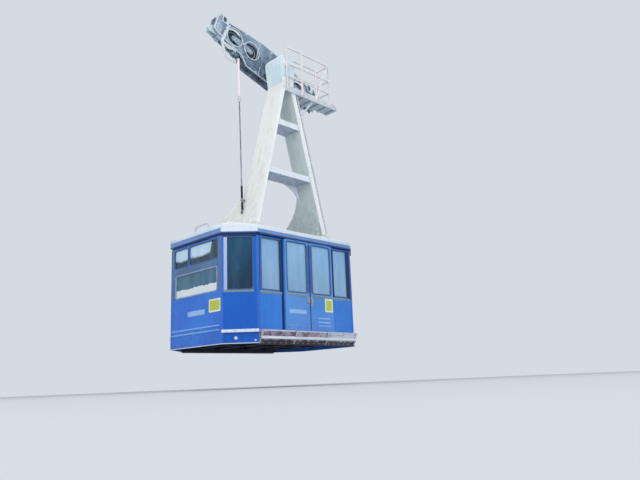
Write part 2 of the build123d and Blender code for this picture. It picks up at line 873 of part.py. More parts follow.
# Sill beams under the side walls and doorways, which the steps' brackets are bolted to
with BuildPart() as side_sills:
    for side in (-1, 1):
        sill_y = (side * (inner_width - sill_width), side * inner_width)
        block((20 - side_flat, side_flat - 20), sill_y, (skirt_bottom, wall_bottom))
save(side_sills, "side_sills")

# Inside
with BuildPart() as grab_poles:
    for x in (-950, 950):
        for y in (-600, 600):
            round_bar((x, y, floor_top), (x, y, roof_foot), 17)
save(grab_poles, "grab_poles")

with BuildPart() as handrails:
    rail_level = -30
    for end in (-1, 1):
        x = end * (inner_length - 70)
        flat_bar((x, -700, rail_level), (x, 700, rail_level), rail_size, rail_size)
        for y in (-640, 0, 640):
            flat_bar((x, y, rail_level), (end * inner_length, y, rail_level), 24, 24)
save(handrails, "handrails")

with BuildPart() as control_desk:
    with BuildSketch(side_plane(-560)):
        with BuildLine():
            Polyline(
                (inner_length, floor_top), (inner_length, -70), (inner_length - 60, -70),
                (inner_length - 330, -190), (inner_length - 330, -260), (inner_length - 260, floor_top),
                close=True,
            )
        make_face()
    extrude(amount=-420)
save(control_desk, "control_desk")

with BuildPart() as bench:
    seat_levels = (-400, -360)
    block((-inner_length, 380 - inner_length), (-700, 700), seat_levels)
    for y in (-640, 0, 640):
        block((-inner_length, 340 - inner_length), (y - 20, y + 20), (floor_top, seat_levels[0]))
save(bench, "bench")
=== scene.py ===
import math

import bmesh
import bpy
import numpy as np
from mathutils import Matrix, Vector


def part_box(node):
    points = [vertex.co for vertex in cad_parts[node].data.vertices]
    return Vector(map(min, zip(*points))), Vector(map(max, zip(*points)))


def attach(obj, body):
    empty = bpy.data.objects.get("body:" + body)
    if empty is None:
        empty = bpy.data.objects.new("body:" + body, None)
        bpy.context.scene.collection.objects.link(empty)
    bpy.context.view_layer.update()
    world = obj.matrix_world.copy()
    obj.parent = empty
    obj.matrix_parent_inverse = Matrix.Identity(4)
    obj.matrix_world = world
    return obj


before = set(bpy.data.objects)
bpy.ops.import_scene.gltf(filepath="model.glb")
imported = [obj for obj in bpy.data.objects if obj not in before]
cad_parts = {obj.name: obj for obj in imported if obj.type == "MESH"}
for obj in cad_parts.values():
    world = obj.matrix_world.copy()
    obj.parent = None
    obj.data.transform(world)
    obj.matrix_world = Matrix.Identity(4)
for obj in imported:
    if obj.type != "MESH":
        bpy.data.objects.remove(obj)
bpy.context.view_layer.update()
print("frame loaded with", len(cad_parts), "nodes")

# The cabin's own axes start in the middle of its plan, at the level of the belt line
bayLow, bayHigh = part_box("side_bays")
doorLow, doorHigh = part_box("door_near_front")
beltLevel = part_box("side_glass")[0].z - 0.020
cabinOrigin = np.array([(bayLow.x + bayHigh.x) / 2, 0.0, beltLevel])
endX = (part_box("end_wall_front")[1].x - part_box("end_wall_rear")[0].x) / 2
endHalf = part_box("end_wall_front")[1].y  # half the flat of an end
sideY = bayHigh.y
sideHalf = (bayHigh.x - bayLow.x) / 2  # half the flat of a side
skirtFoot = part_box("end_wall_front")[0].z - beltLevel
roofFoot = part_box("roof_shell")[0].z - beltLevel
doorOut = doorHigh.y - sideY
doorFoot, doorHead = doorLow.z - beltLevel, 1.160
ropeSlope = math.radians(17.5)
sunk = 0.001  # how deep trim is set into what carries it


# Shapes: each is a pair of an array of points and a list of arrays of faces

def unit(vectors):
    vectors = np.asarray(vectors, float)
    return vectors / np.linalg.norm(vectors, axis=-1, keepdims=True)


def fromCabin(points):
    # from the cabin's axes to the row frame: point + the cabin's origin
    return np.asarray(points, float) + cabinOrigin


def fromRope(points):
    # (along, across, above the rope) turned by the rope's slope into the row frame
    s, y, n = np.moveaxis(np.asarray(points, float), -1, 0)
    return np.stack([s * math.cos(ropeSlope) - n * math.sin(ropeSlope), y,
                     s * math.sin(ropeSlope) + n * math.cos(ropeSlope)], -1)


def gridFaces(rows, columns, closeRows=False, closeColumns=False):
    # one quad between each four neighbours of a grid that is numbered row by row
    i = np.arange(rows if closeRows else rows - 1)[:, None]
    j = np.arange(columns if closeColumns else columns - 1)[None, :]
    nextRow, nextColumn = (i + 1) % rows, (j + 1) % columns
    corners = [i * columns + j, i * columns + nextColumn, nextRow * columns + nextColumn, nextRow * columns + j]
    return np.stack(corners, -1).reshape(-1, 4)


def joined(shapes):
    # several shapes in one, each numbered on from the last
    starts = np.cumsum([0] + [len(points) for points, faces in shapes])
    points = np.concatenate([points for points, faces in shapes])
    return points, [block + start for (_, faces), start in zip(shapes, starts) for block in faces]


def repeated(shape, offsets):
    # the same shape at every offset: point + offset
    points, faces = shape
    offsets = np.asarray(offsets, float)
    starts = np.arange(len(offsets))[:, None, None] * len(points)
    copies = (points[None] + offsets[:, None]).reshape(-1, 3)
    return copies, [(block[None] + starts).reshape(-1, block.shape[1]) for block in faces]


def placed(shape, origin, across, normal):
    # local x runs along across, local z along normal and local y along normal x across
    turn = np.stack([unit(across), np.cross(unit(normal), unit(across)), unit(normal)])
    return shape[0] @ turn + np.asarray(origin, float), shape[1]


def inCabin(shape, place, across=(1, 0, 0), normal=(0, 0, 1)):
    return placed(shape, fromCabin(place), across, normal)


def circle(radius, steps=8, start=0.0):
    # (r cos t, r sin t)
    angle = np.arange(steps) * 2 * math.pi / steps + start
    return radius * np.column_stack([np.cos(angle), np.sin(angle)])


def roundedOutline(width, height, radius, steps=4):
    # four quarter circles: corner centre + radius (cos t, sin t)
    angle = np.linspace(0, math.pi / 2, steps + 1)[None] + np.arange(4)[:, None] * math.pi / 2
    centre = np.array([[1, 1], [-1, 1], [-1, -1], [1, -1]]) * [width / 2 - radius, height / 2 - radius]
    arcs = centre[:, None] + radius * np.stack([np.cos(angle), np.sin(angle)], -1)
    return arcs.reshape(-1, 2)


def lidded(rings):
    # rings of equally many points skinned one to the next, both ends closed
    count = len(rings[0])
    ends = [np.arange(count)[None, ::-1], np.arange(count)[None] + (len(rings) - 1) * count]
    return np.concatenate(rings), [gridFaces(len(rings), count, closeColumns=True)] + ends


def stacked(outlines, heights):
    # equal outlines one above the other, (x, y) of the outline and z of its height
    return lidded([np.column_stack([outline, np.full(len(outline), height)])
                   for outline, height in zip(outlines, heights)])


def plate(width, height, radius, thickness, edge=0.002):
    # a rounded oblong raised from z = 0, with its upper edge sloped off
    full = roundedOutline(width, height, radius)
    top = roundedOutline(width - 2 * edge, height - 2 * edge, radius)
    return stacked([full, full, top], [0, thickness - edge, thickness])


def roundedStrip(width, height, thickness):
    # an oblong strip with a low rounded face
    full = roundedOutline(width, height, min(width, height) * 0.3, 3)
    return stacked([full, full * (1 - 0.002 / width, 0.9), full * (1 - 0.006 / width, 0.7)],
                   [0, 0.6 * thickness, thickness])


def turned(profile, steps=16):
    # each (radius, height) goes round z: (r cos t, r sin t, h)
    radius, height = np.asarray(profile, float).T
    angle = np.arange(steps) * 2 * math.pi / steps
    grid = np.stack([radius[:, None] * np.cos(angle), radius[:, None] * np.sin(angle),
                     np.repeat(height[:, None], steps, 1)], -1)
    return grid.reshape(-1, 3), [gridFaces(len(radius), steps, closeColumns=True)]


def carried(path, profile, up=(0, 0, 1), closePath=False):
    # path point + a * side + b * up for each (a, b) of the profile, lengthened by the mitre at a corner
    path, profile = np.asarray(path, float), np.asarray(profile, float)
    ahead = np.roll(path, -1, 0) - path
    behind = path - np.roll(path, 1, 0)
    if not closePath:
        ahead[-1], behind[0] = behind[-1], ahead[0]
    ahead, behind = unit(ahead), unit(behind)
    tangent = unit(ahead + behind)
    mitre = 1 / np.sqrt((1 + (ahead * behind).sum(-1)) / 2)
    side = unit(np.cross(tangent, up)) * mitre[:, None]
    lift = unit(np.cross(side, tangent))
    points = path[:, None] + side[:, None] * profile[None, :, :1] + lift[:, None] * profile[None, :, 1:]
    if closePath:
        return points.reshape(-1, 3), [gridFaces(len(path), len(profile), True, True)]
    return lidded(points)


def hexBolt(size):
    # washer, six-sided head with a turned crown; size is the head's radius
    washer = turned([(0, 0), (1.35 * size, 0), (1.35 * size, 0.16 * size), (0, 0.16 * size)], 12)
    head = turned([(0, 0.16 * size), (size, 0.16 * size), (size, 0.72 * size), (0.84 * size, 0.84 * size),
                   (0, 0.84 * size)], 6)
    return joined([washer, head])


def domeRivet(radius):
    # a low cap: radius cos t, 0.5 radius sin t
    rise = np.linspace(0, math.pi / 2, 4)
    return turned(np.column_stack([radius * np.cos(rise), 0.5 * radius * np.sin(rise)]), 8)


def boltRing(size, radius, count, height=-sunk, start=0.0):
    # bolts round a circle, all at one height
    return repeated(hexBolt(size), np.column_stack([circle(radius, count, start), np.full(count, height)]))


def boltGrid(size, across, along, height):
    return repeated(hexBolt(size), [(u, v, height) for u in across for v in along])


def bowHandle(height, reach, radius):
    # a round bar carried up, across and back: out from the face, along it and in again
    bend = np.linspace(0, math.pi / 2, 5)
    turn = 0.4 * reach
    lower = np.column_stack([0 * bend, -height / 2 + turn - turn * np.cos(bend), reach - turn + turn * np.sin(bend)])
    path = np.concatenate([[(0, -height / 2, 0)], lower, lower[::-1] * (1, -1, 1), [(0, height / 2, 0)]])
    return carried(path, circle(radius), (1, 0, 0))


def addPiece(name, body, finish, shapes, sharpAngle=35):
    # shapes is one shape or a list of them
    points, faces = joined(shapes) if isinstance(shapes, list) else shapes
    corners = np.concatenate([block.ravel() for block in faces]).astype(np.int32)
    sizes = np.concatenate([np.full(len(block), block.shape[1]) for block in faces])
    mesh = bpy.data.meshes.new(name)
    mesh.vertices.add(len(points))
    mesh.vertices.foreach_set("co", np.asarray(points, np.float32).ravel())
    mesh.loops.add(len(corners))
    mesh.loops.foreach_set("vertex_index", corners)
    mesh.polygons.add(len(sizes))
    mesh.polygons.foreach_set("loop_start", (np.cumsum(sizes) - sizes).astype(np.int32))
    mesh.update(calc_edges=True)
    mesh.validate()
    work = bmesh.new()
    work.from_mesh(mesh)
    bmesh.ops.remove_doubles(work, verts=work.verts, dist=1e-5)
    bmesh.ops.recalc_face_normals(work, faces=work.faces)
    work.to_mesh(mesh)
    work.free()
    mesh.shade_smooth()
    mesh.set_sharp_from_angle(angle=math.radians(sharpAngle))
    mesh.materials.append(made[finish])
    piece = bpy.data.objects.new(name, mesh)
    bpy.context.scene.collection.objects.link(piece)
    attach(piece, body)


# Nodes

def colour(code):
    # "#rrggbb" as linear light
    parts = np.array([int(code[k:k + 2], 16) for k in (1, 3, 5)]) / 255
    linear = np.where(parts <= 0.04045, parts / 12.92, ((parts + 0.055) / 1.055) ** 2.4)
    return (*linear.tolist(), 1.0)


class Wiring:
    # short words for the nodes that the materials are made of; a value is a number, a "#rrggbb" or a socket
    def __init__(self, tree):
        self.nodes, self.links = tree.nodes, tree.links

    def join(self, value, socket):
        if hasattr(value, "is_linked"):
            self.links.new(value, socket)
        elif value is not None:
            socket.default_value = colour(value) if isinstance(value, str) else value

    def add(self, kind, *values, **settings):
        # a node with its settings, its inputs filled in order
        node = self.nodes.new("ShaderNode" + kind)
        for label, value in settings.items():
            setattr(node, label, value)
        for value, socket in zip(values, node.inputs):
            self.join(value, socket)
        return node

    def coords(self, scale=None):
        place = self.add("TexCoord").outputs["Object"]
        return place if scale is None else self.add("Mapping", place, None, None, scale).outputs[0]

    def noise(self, place, scale, detail=3.0, rough=0.55):
        return self.add("TexNoise", place, None, scale, detail, rough).outputs["Fac"]

    def math(self, operation, *values, clamp=False):
        return self.add("Math", *values, operation=operation, use_clamp=clamp).outputs[0]

    def times(self, first, second):
        return self.math("MULTIPLY", first, second)

    def ramp(self, value, low, high, start=0.0, end=1.0):
        return self.add("MapRange", value, low, high, start, end, interpolation_type="SMOOTHSTEP").outputs[0]

    def cloud(self, scale, detail, low, high, rough=0.55, stretch=None):
        # noise with its contrast drawn out between two levels
        return self.ramp(self.noise(self.coords(stretch), scale, detail, rough), low, high)

    def mix(self, share, first, second):
        return self.add("Mix", share, *[None] * 5, first, second, data_type="RGBA").outputs[2]

    def split(self, vector, axis):
        return self.add("SeparateXYZ", vector).outputs[axis]

    def normalUp(self):
        # the piece's own upward share of the normal, which a pose doesn't change
        turn = self.add("VectorTransform", self.add("NewGeometry").outputs["Normal"], vector_type="NORMAL",
                        convert_from="WORLD", convert_to="OBJECT")
        return self.split(turn.outputs[0], 2)

    def group(self, tree, *values):
        return self.add("Group", *values, node_tree=tree).outputs

    def finish(self, shader, tone, rough, height=None, strength=0.2, distance=0.002):
        self.join(tone, shader.inputs["Base Color"])
        self.join(rough, shader.inputs["Roughness"])
        if height is not None:
            bump = self.add("Bump", strength, distance)
            self.join(height, bump.inputs["Height"])
            self.join(bump.outputs[0], shader.inputs["Normal"])


# Camera, low beside the cabin and looking up at it, placed from the cabin's axes
view = {"place": (9.34, 10.88, -1.90), "yaw": 224.07, "pitch": 13.22, "roll": -2.37, "lens": 34.22}


def setInScene(name, data, right, up, back, place):
    # an object whose axes are right, up and back
    item = bpy.data.objects.new(name, data)
    bpy.context.scene.collection.objects.link(item)
    turn = np.eye(4)
    turn[:3] = np.column_stack([right, up, back, place])
    item.matrix_world = Matrix(turn.tolist())
    return item


def aimCamera():
    yaw, pitch, roll = [math.radians(view[key]) for key in ("yaw", "pitch", "roll")]
    forward = np.array([math.cos(yaw) * math.cos(pitch), math.sin(yaw) * math.cos(pitch), math.sin(pitch)])
    level = np.array([math.sin(yaw), -math.cos(yaw), 0.0])
    above = np.cross(level, forward)
    right = math.cos(roll) * level + math.sin(roll) * above
    up = -math.sin(roll) * level + math.cos(roll) * above
    data = bpy.data.cameras.new("lowCamera")
    data.lens = view["lens"]
    data.sensor_width = 36.0
    data.clip_end = 300.0
    bpy.context.scene.camera = setInScene("lowCamera", data, right, up, -forward, fromCabin(view["place"]))


# Floor, light and the pale surroundings
studio = {
    "floorLevel": beltLevel + view["place"][2] - 0.05, "floorReach": 60.0, "floorColour": "#cdd3da",
    "floorGlow": (14.0, 34.0, 0.0, 0.55),  # from and to these distances, from and to these shares
    "skyColour": "#d5dbe2", "fillColour": (0.93, 0.97, 1.0, 1.0), "fill": 0.47, "target": (0.0, 0.0, -4.5),
    # place, size and power
    "lights": {"overhead": ((2.0, 3.0, 13.0), 26.0, 1650.0), "key": ((17.0, 7.0, 2.0), 11.0, 950.0),
               "side": ((1.0, 19.0, -1.0), 12.0, 720.0)},
}


def panelLight(name, place, size, power):
    data = bpy.data.lights.new(name, "AREA")
    data.shape = "SQUARE"
    data.size = size
    data.energy = power
    back = unit(np.array(place) - np.array(studio["target"]))
    right = unit(np.cross((0.13, 0.99, 0.0), back))
    lamp = setInScene(name, data, right, np.cross(back, right), back, place)
    lamp.visible_camera = False
    lamp.visible_glossy = False


def lightTheWorld():
    # the camera, reflections and panes see the sky's colour, and everything else gets the fill light
    world = bpy.data.worlds.new("paleSurroundings")
    world.use_nodes = True
    wire = Wiring(world.node_tree)
    wire.nodes.clear()
    rays = wire.add("LightPath").outputs
    first = wire.math("MAXIMUM", rays["Is Camera Ray"], rays["Is Glossy Ray"])
    seen = wire.math("MAXIMUM", first, rays["Is Transmission Ray"])
    fill = wire.add("Background", studio["fillColour"], studio["fill"]).outputs[0]
    sky = wire.add("Background", studio["skyColour"]).outputs[0]
    wire.add("OutputWorld", wire.add("MixShader", seen, fill, sky).outputs[0])
    bpy.context.scene.world = world


def layFloor():
    reach, level = studio["floorReach"], studio["floorLevel"]
    mesh = bpy.data.meshes.new("studioFloor")
    mesh.from_pydata([(-reach, -reach, level), (reach, -reach, level), (reach, reach, level),
                      (-reach, reach, level)], [], [(0, 1, 2, 3)])
    floor = bpy.data.objects.new("studioFloor", mesh)
    bpy.context.scene.collection.objects.link(floor)
    wire, shader = newMaterial("floorPaper")
    # the paper glows a little more with distance, so that it meets the sky evenly
    away = wire.add("VectorMath", wire.coords(), operation="LENGTH").outputs["Value"]
    share = wire.add("MapRange", away, *studio["floorGlow"]).outputs["Result"]
    glow = wire.add("VectorMath", colour(studio["skyColour"])[:3], operation="SCALE")
    wire.join(share, glow.inputs["Scale"])
    wire.join(glow.outputs["Vector"], shader.inputs["Emission Color"])
    shader.inputs["Emission Strength"].default_value = 1.0
    wire.finish(shader, studio["floorColour"], 0.9)
    mesh.materials.append(made["floorPaper"])


made = {}


def newMaterial(name, roughness=0.5, metallic=0.0, **fixed):
    made[name] = bpy.data.materials.new(name)
    made[name].use_nodes = True
    shader = made[name].node_tree.nodes["Principled BSDF"]
    for label, value in {"Roughness": roughness, "Metallic": metallic, **fixed}.items():
        shader.inputs[label.replace("_", " ")].default_value = value
    return Wiring(made[name].node_tree), shader


aimCamera()
lightTheWorld()
layFloor()
for lampName, lampValues in studio["lights"].items():
    panelLight(lampName, *lampValues)
bpy.context.scene.view_settings.view_transform = "Standard"
print("camera, floor and lights set")


# Shared effects, each a node group

def newGroup(name, inputs, outputs):
    # inputs are name: value, where a "#rrggbb" makes a colour; outputs are name: kind
    group = bpy.data.node_groups.new(name, "ShaderNodeTree")
    for label, value in inputs.items():
        kind = "NodeSocketColor" if isinstance(value, str) else "NodeSocketFloat"
        socket = group.interface.new_socket(label, in_out="INPUT", socket_type=kind)
        socket.default_value = colour(value) if isinstance(value, str) else value
    for label, kind in outputs.items():
        group.interface.new_socket(label, in_out="OUTPUT", socket_type="NodeSocket" + kind)
    given = group.nodes.new("NodeGroupInput").outputs
    return group, Wiring(group), given, group.nodes.new("NodeGroupOutput").inputs


def makeWeather():
    # sun-faded patches, streaks that run down, dirt near a level, painted shade on faces that look down and frost
    # where a face looks up
    group, wire, given, end = newGroup("weather", {
        "Paint": "#808080", "Faded": "#b0b0b0", "Grime": "#404040", "Fade": 0.5, "Streaks": 0.3, "Dirt": 0.2,
        "Dirt Level": -7.2, "Dirt Reach": 0.4, "Frost": 0.5, "Gloss Loss": 0.2, "Under": 0.3,
    }, {"Color": "Color", "Roughness": "Float", "Height": "Float", "Frost": "Float"})
    patches = wire.cloud(1.1, 4.0, 0.38, 0.68)
    cloudy = wire.cloud(9.0, 5.0, 0.3, 0.75)
    fade = wire.times(wire.math("MULTIPLY_ADD", patches, 0.65, 0.15), given["Fade"])
    body = wire.mix(fade, given["Paint"], given["Faded"])
    runs = wire.cloud(1.6, 4.0, 0.46, 0.80, 0.6, (7.0, 7.0, 0.3))
    body = wire.mix(wire.times(runs, given["Streaks"]), body, given["Grime"])
    top = wire.math("ADD", given["Dirt Level"], given["Dirt Reach"])
    low = wire.times(wire.ramp(wire.split(wire.coords(), 2), given["Dirt Level"], top, 1.0, 0.0), cloudy)
    body = wire.mix(wire.times(low, given["Dirt"]), body, given["Grime"])
    # faces that look down are drawn towards the grime tone: painted shade under things
    under = wire.times(wire.ramp(wire.normalUp(), -0.75, -0.3, 1.0, 0.0), given["Under"])
    body = wire.mix(wire.times(under, wire.math("MULTIPLY_ADD", cloudy, 0.4, 0.6)), body, given["Grime"])
    upward = wire.ramp(wire.normalUp(), 0.25, 0.75)
    crust = wire.cloud(5.0, 5.0, 0.25, 0.6, 0.65)
    frost = wire.math("MULTIPLY", wire.times(upward, crust), given["Frost"], clamp=True)
    wire.join(wire.mix(frost, body, "#f2f6fb"), end["Color"])
    spoiled = wire.math("ADD", wire.times(cloudy, given["Gloss Loss"]), wire.times(frost, 0.45))
    wire.join(spoiled, end["Roughness"])
    grain = wire.noise(wire.coords(), 160.0, 2.0)
    wire.join(wire.math("ADD", wire.times(grain, 0.25), frost), end["Height"])
    wire.join(frost, end["Frost"])
    return group


def makeWornEdges():
    # 1 on sharp outer edges and 0 on flat faces, broken up by fine noise
    group, wire, given, end = newGroup("wornEdges", {"Width": 0.008, "Wear": 0.6}, {"Mask": "Float"})
    soft = wire.add("Bevel", given["Width"], samples=4).outputs[0]
    dot = wire.add("VectorMath", soft, wire.add("NewGeometry").outputs["Normal"], operation="DOT_PRODUCT")
    edge = wire.ramp(dot.outputs["Value"], 0.99, 0.80)
    broken = wire.cloud(22.0, 5.0, 0.35, 0.62, 0.7)
    wire.join(wire.times(wire.times(edge, broken), given["Wear"]), end[0])
    return group


def makeSpangle():
    # zinc crystals: cells with a light and a dark side
    group, wire, given, end = newGroup("spangle", {"Scale": 28.0, "Light": "#cccccc", "Dark": "#999999"},
                                       {"Color": "Color"})
    cells = wire.add("TexVoronoi", wire.coords())
    wire.join(given["Scale"], cells.inputs["Scale"])
    share = wire.split(cells.outputs["Color"], 0)
    wire.join(wire.mix(share, given["Light"], given["Dark"]), end["Color"])
    return group


weather = makeWeather()
wornEdges = makeWornEdges()
spangle = makeSpangle()


# Materials

def paintedMetal(name, tones, frost=1.0, fade=0.5, streaks=0.25, dirt=0.3, dirtFrom=-1.1, dirtReach=0.5, under=0.3,
                 wear=0.5, rough=0.4, coat=0.3, bump=0.15):
    # weathered paint over metal, with bare or chipped edges; tones are those of paint, fading, grime (also the tone
    # of the painted shade on downward faces) and chips; under sets how strong that painted shade is
    wire, shader = newMaterial(name, Coat_Roughness=0.2)
    paint, faded, grimeAndShade, bare = tones.split()
    out = wire.group(weather, paint, faded, grimeAndShade, fade, streaks, dirt, beltLevel + dirtFrom, dirtReach, frost, 0.25,
                     under)
    tone = wire.mix(wire.group(wornEdges, 0.006, wear)["Mask"], out["Color"], bare)
    wire.finish(shader, tone, wire.math("ADD", out["Roughness"], rough, clamp=True), out["Height"], bump, 0.004)
    wire.join(wire.times(wire.math("SUBTRACT", 1.0, out["Frost"]), coat), shader.inputs["Coat Weight"])


paints = {
    "bodyBlue": dict(tones="#1a76dc #3590ee #16439a #5b8fe8", frost=0.9, fade=0.7, dirt=0.4, rough=0.24, coat=0.4),
    "endBlue": dict(tones="#0a68da #2f8cee #16439a #5b8fe8", frost=0.9, fade=0.6, streaks=0.3, dirt=0.4, rough=0.26,
                    coat=0.25),
    "doorBlue": dict(tones="#3b88dc #61a1ea #5573cf #7fa8f0", frost=0.9, fade=0.8, streaks=0.35, dirt=0.7,
                     dirtFrom=-0.9, rough=0.28, coat=0.4),
    # the end ribs are the end wall's blue painted paler: painted highlight along the ribs
    "ribBlue": dict(tones="#63a6f6 #93c6fb #3a7ade #c4dffc", rough=0.3),
    "headBlue": dict(tones="#16397a #25508f #0f2450 #4a70ab", frost=0.5, rough=0.3, coat=0.05),
    "gutterNavy": dict(tones="#0f2a63 #173a7c #081a40 #33559b", frost=0.2, fade=0.4, coat=0.1),
    "roofPale": dict(tones="#6890ca #86a9da #5577b4 #cfdef5", fade=0.8, streaks=0.45, coat=0.1, bump=0.35),
    "legWhite": dict(tones="#f1f4f6 #ffffff #cfd3bd #dfe5e6", frost=0.8, fade=0.8, streaks=0.3, dirt=0.4,
                     dirtFrom=1.2, dirtReach=0.8, rough=0.36),
    # the rear leg's copy of the white leg paint, painted grey: painted shade from the front leg; its dirt setting
    # darkens it towards its foot
    "legShaded": dict(tones="#c6d1d1 #d9e1e1 #8c9891 #d3d9d5", frost=0.8, fade=0.8, streaks=0.4, dirt=0.7,
                      dirtFrom=1.2, dirtReach=1.9),
    # under=0.85 darkens the rungs' undersides: painted shade
    "rungWhite": dict(tones="#e9f0fb #f6faff #73839a #dfe5e6", fade=0.8, dirt=0.0, under=0.85, rough=0.38),
    "headWhite": dict(tones="#cfe6ef #fafdfd #9db9c6 #c9d6dd", frost=0.9, fade=0.9, streaks=0.7, dirtFrom=5.1,
                      rough=0.38),
    "hangerWhite": dict(tones="#eef0ef #fbfbfa #c6c9ab #d3d9d5", frost=0.8, fade=0.8, streaks=0.55, dirt=0.7,
                        dirtFrom=1.2, dirtReach=1.6, rough=0.38),
    "tipPale": dict(tones="#8fabbd #d8ebf5 #3c5062 #f2f9fc", fade=0.9, streaks=0.6, dirtFrom=5.5, dirtReach=0.4,
                    wear=0.9),
    # its large pale fade patches are partly fading and partly painted highlight on the side plates
    "carriageGrey": dict(tones="#4f6c8a #d2e6f5 #1c3049 #f2f7fb", frost=0.9, fade=1.0, streaks=0.5, dirt=0.95,
                         dirtFrom=6.0, dirtReach=1.2, wear=0.9),
    "rockerGrey": dict(tones="#8fa5b6 #b4c5d1 #44586a #d0dae2", frost=0.5, fade=0.7, streaks=0.4, dirtFrom=5.8,
                       wear=0.8, rough=0.3),
    "strakeWhite": dict(tones="#e3edf6 #f6fafd #9fb3c9 #ffffff", fade=0.6, streaks=0.3, rough=0.5, coat=0.05),
    "beltGreen": dict(tones="#728b98 #93a8b0 #55707c #c2ccd1", frost=0.5, coat=0.1),
    # dark navy for the drip rail, and for strips that are partly painted shadow
    "bandNavy": dict(tones="#0a2459 #12336b #06163c #2b4c85", frost=0.2, rough=0.45, coat=0.0),
    "coverBlue": dict(tones="#1f66cf #3b80e0 #16439a #6c9cec", frost=0.7, rough=0.3),
    "cornerBlue": dict(tones="#005bc2 #0c69cf #0b3a8c #5b8fe8", frost=0.8, streaks=0.15, rough=0.38, coat=0.05),
    "rivetBlue": dict(tones="#2b6bd6 #4a88e6 #16439a #7fa8f0", frost=0.6, rough=0.3),
    "fasciaBlue": dict(tones="#6f97cf #89addb #4f73b4 #bcd0ee", frost=0.6, fade=0.6, streaks=0.45, coat=0.15),
    "frostedRim": dict(tones="#dce8f6 #f4f8fc #a9bddb #ffffff", rough=0.5, coat=0.05),
    "ringPale": dict(tones="#c3d2de #e3ecf2 #7d93a6 #f2f7fa", frost=0.6, fade=0.8, streaks=0.4, dirtFrom=5.5,
                     coat=0.1),
    "wheelPale": dict(tones="#8397a8 #a7b8c5 #3c4f61 #d5dfe6", frost=0.4, fade=0.6, streaks=0.4, dirtFrom=5.8,
                      rough=0.45, coat=0.0),
    "springDark": dict(tones="#232c3a #394558 #10151e #6c7a8c", frost=0.4, rough=0.5, coat=0.0),
    "liningWhite": dict(tones="#eef4f6 #ffffff #c9d6da #f6f9fa", frost=0.0, streaks=0.1, dirt=0.0, rough=0.5,
                        coat=0.0),
    "lampCover": dict(tones="#cfdbe2 #eef4f8 #9fb0ba #ffffff", frost=0.0, streaks=0.1, dirt=0.0, rough=0.3),
    "pillarPale": dict(tones="#aebfd0 #c9d6e2 #7d90a4 #e2e9f0", frost=0.0, dirt=0.2, rough=0.45, coat=0.1),
    "sashSlate": dict(tones="#4d6a8e #6f8bab #33475f #9db2c8", frost=0.6, rough=0.45),
    # pale lilac for the corner glazing bars: painted highlight on the frame edge
    "barLilac": dict(tones="#9fb6e2 #c6d5f2 #7c93c4 #e6edf8"),
    "stileBlue": dict(tones="#3d62a6 #5b7fbe #2a4680 #86a3d2", frost=0.5, coat=0.1),
    "leafSky": dict(tones="#86b8f0 #b4d6fa #5c90dc #bcd8f8", frost=0.7, coat=0.1),
    "plateSky": dict(tones="#8dbcf2 #bfe0fb #5f97dc #d7ebfb", frost=0.9, coat=0.1),
    "toeWhite": dict(tones="#d3dfec #f4f7fb #93a6b8 #ffffff", dirtFrom=5.0, dirtReach=0.12),
    "noticePale": dict(tones="#edefcf #f8f9e6 #b7bb8e #f4f4e4", frost=0.2, rough=0.45, coat=0.1),
    "noticeYellow": dict(tones="#bccb45 #d3dc6c #8d9430 #e0e4a4", frost=0.2, rough=0.45, coat=0.1),
    "chassisDark": dict(tones="#1b2438 #2b3750 #0d1220 #45506a", frost=0.3, rough=0.5, coat=0.0),
}
for name, recipe in paints.items():
    paintedMetal(name, **recipe)


def galvanisedSteel(name, light, dark, faded):
    wire, shader = newMaterial(name, metallic=0.15)
    zinc = wire.group(spangle, 34.0, light, dark)["Color"]
    out = wire.group(weather, zinc, faded, "#8796a3", 0.5, 0.35, 0.2, None, None, 0.9)
    wire.finish(shader, out["Color"], wire.math("ADD", out["Roughness"], 0.3, clamp=True), out["Height"])


def bareSteel(name, light, dark, roughness=0.3):
    # machined steel: fine lines round the part over blotches of oil
    wire, shader = newMaterial(name, metallic=0.85)
    lines = wire.noise(wire.coords((1.0, 26.0, 1.0)), 40.0)
    tone = wire.mix(wire.cloud(12.0, 4.0, 0.35, 0.7), light, dark)
    wire.finish(shader, tone, wire.math("MULTIPLY_ADD", lines, 0.3, roughness - 0.15), lines, 0.12, 0.001)


def castWheel(name):
    # blue-grey paint on the web, darkened as painted shade so the wheel openings look shadowed, and bright worn metal
    # in the rope groove
    wire, shader = newMaterial(name, metallic=0.2)
    blotch = wire.cloud(14.0, 5.0, 0.3, 0.7)
    mask = wire.group(wornEdges, 0.008, 0.9)["Mask"]
    tone = wire.mix(mask, wire.mix(blotch, "#2c3b4b", "#182330"), "#aebbc6")
    wire.finish(shader, tone, wire.ramp(blotch, 0.0, 1.0, 0.35, 0.6))


def rubber(name, tone, worn):
    wire, shader = newMaterial(name)
    blotch = wire.cloud(18.0, 4.0, 0.35, 0.75)
    wire.finish(shader, wire.mix(blotch, tone, worn), wire.ramp(blotch, 0, 1, 0.55, 0.8))


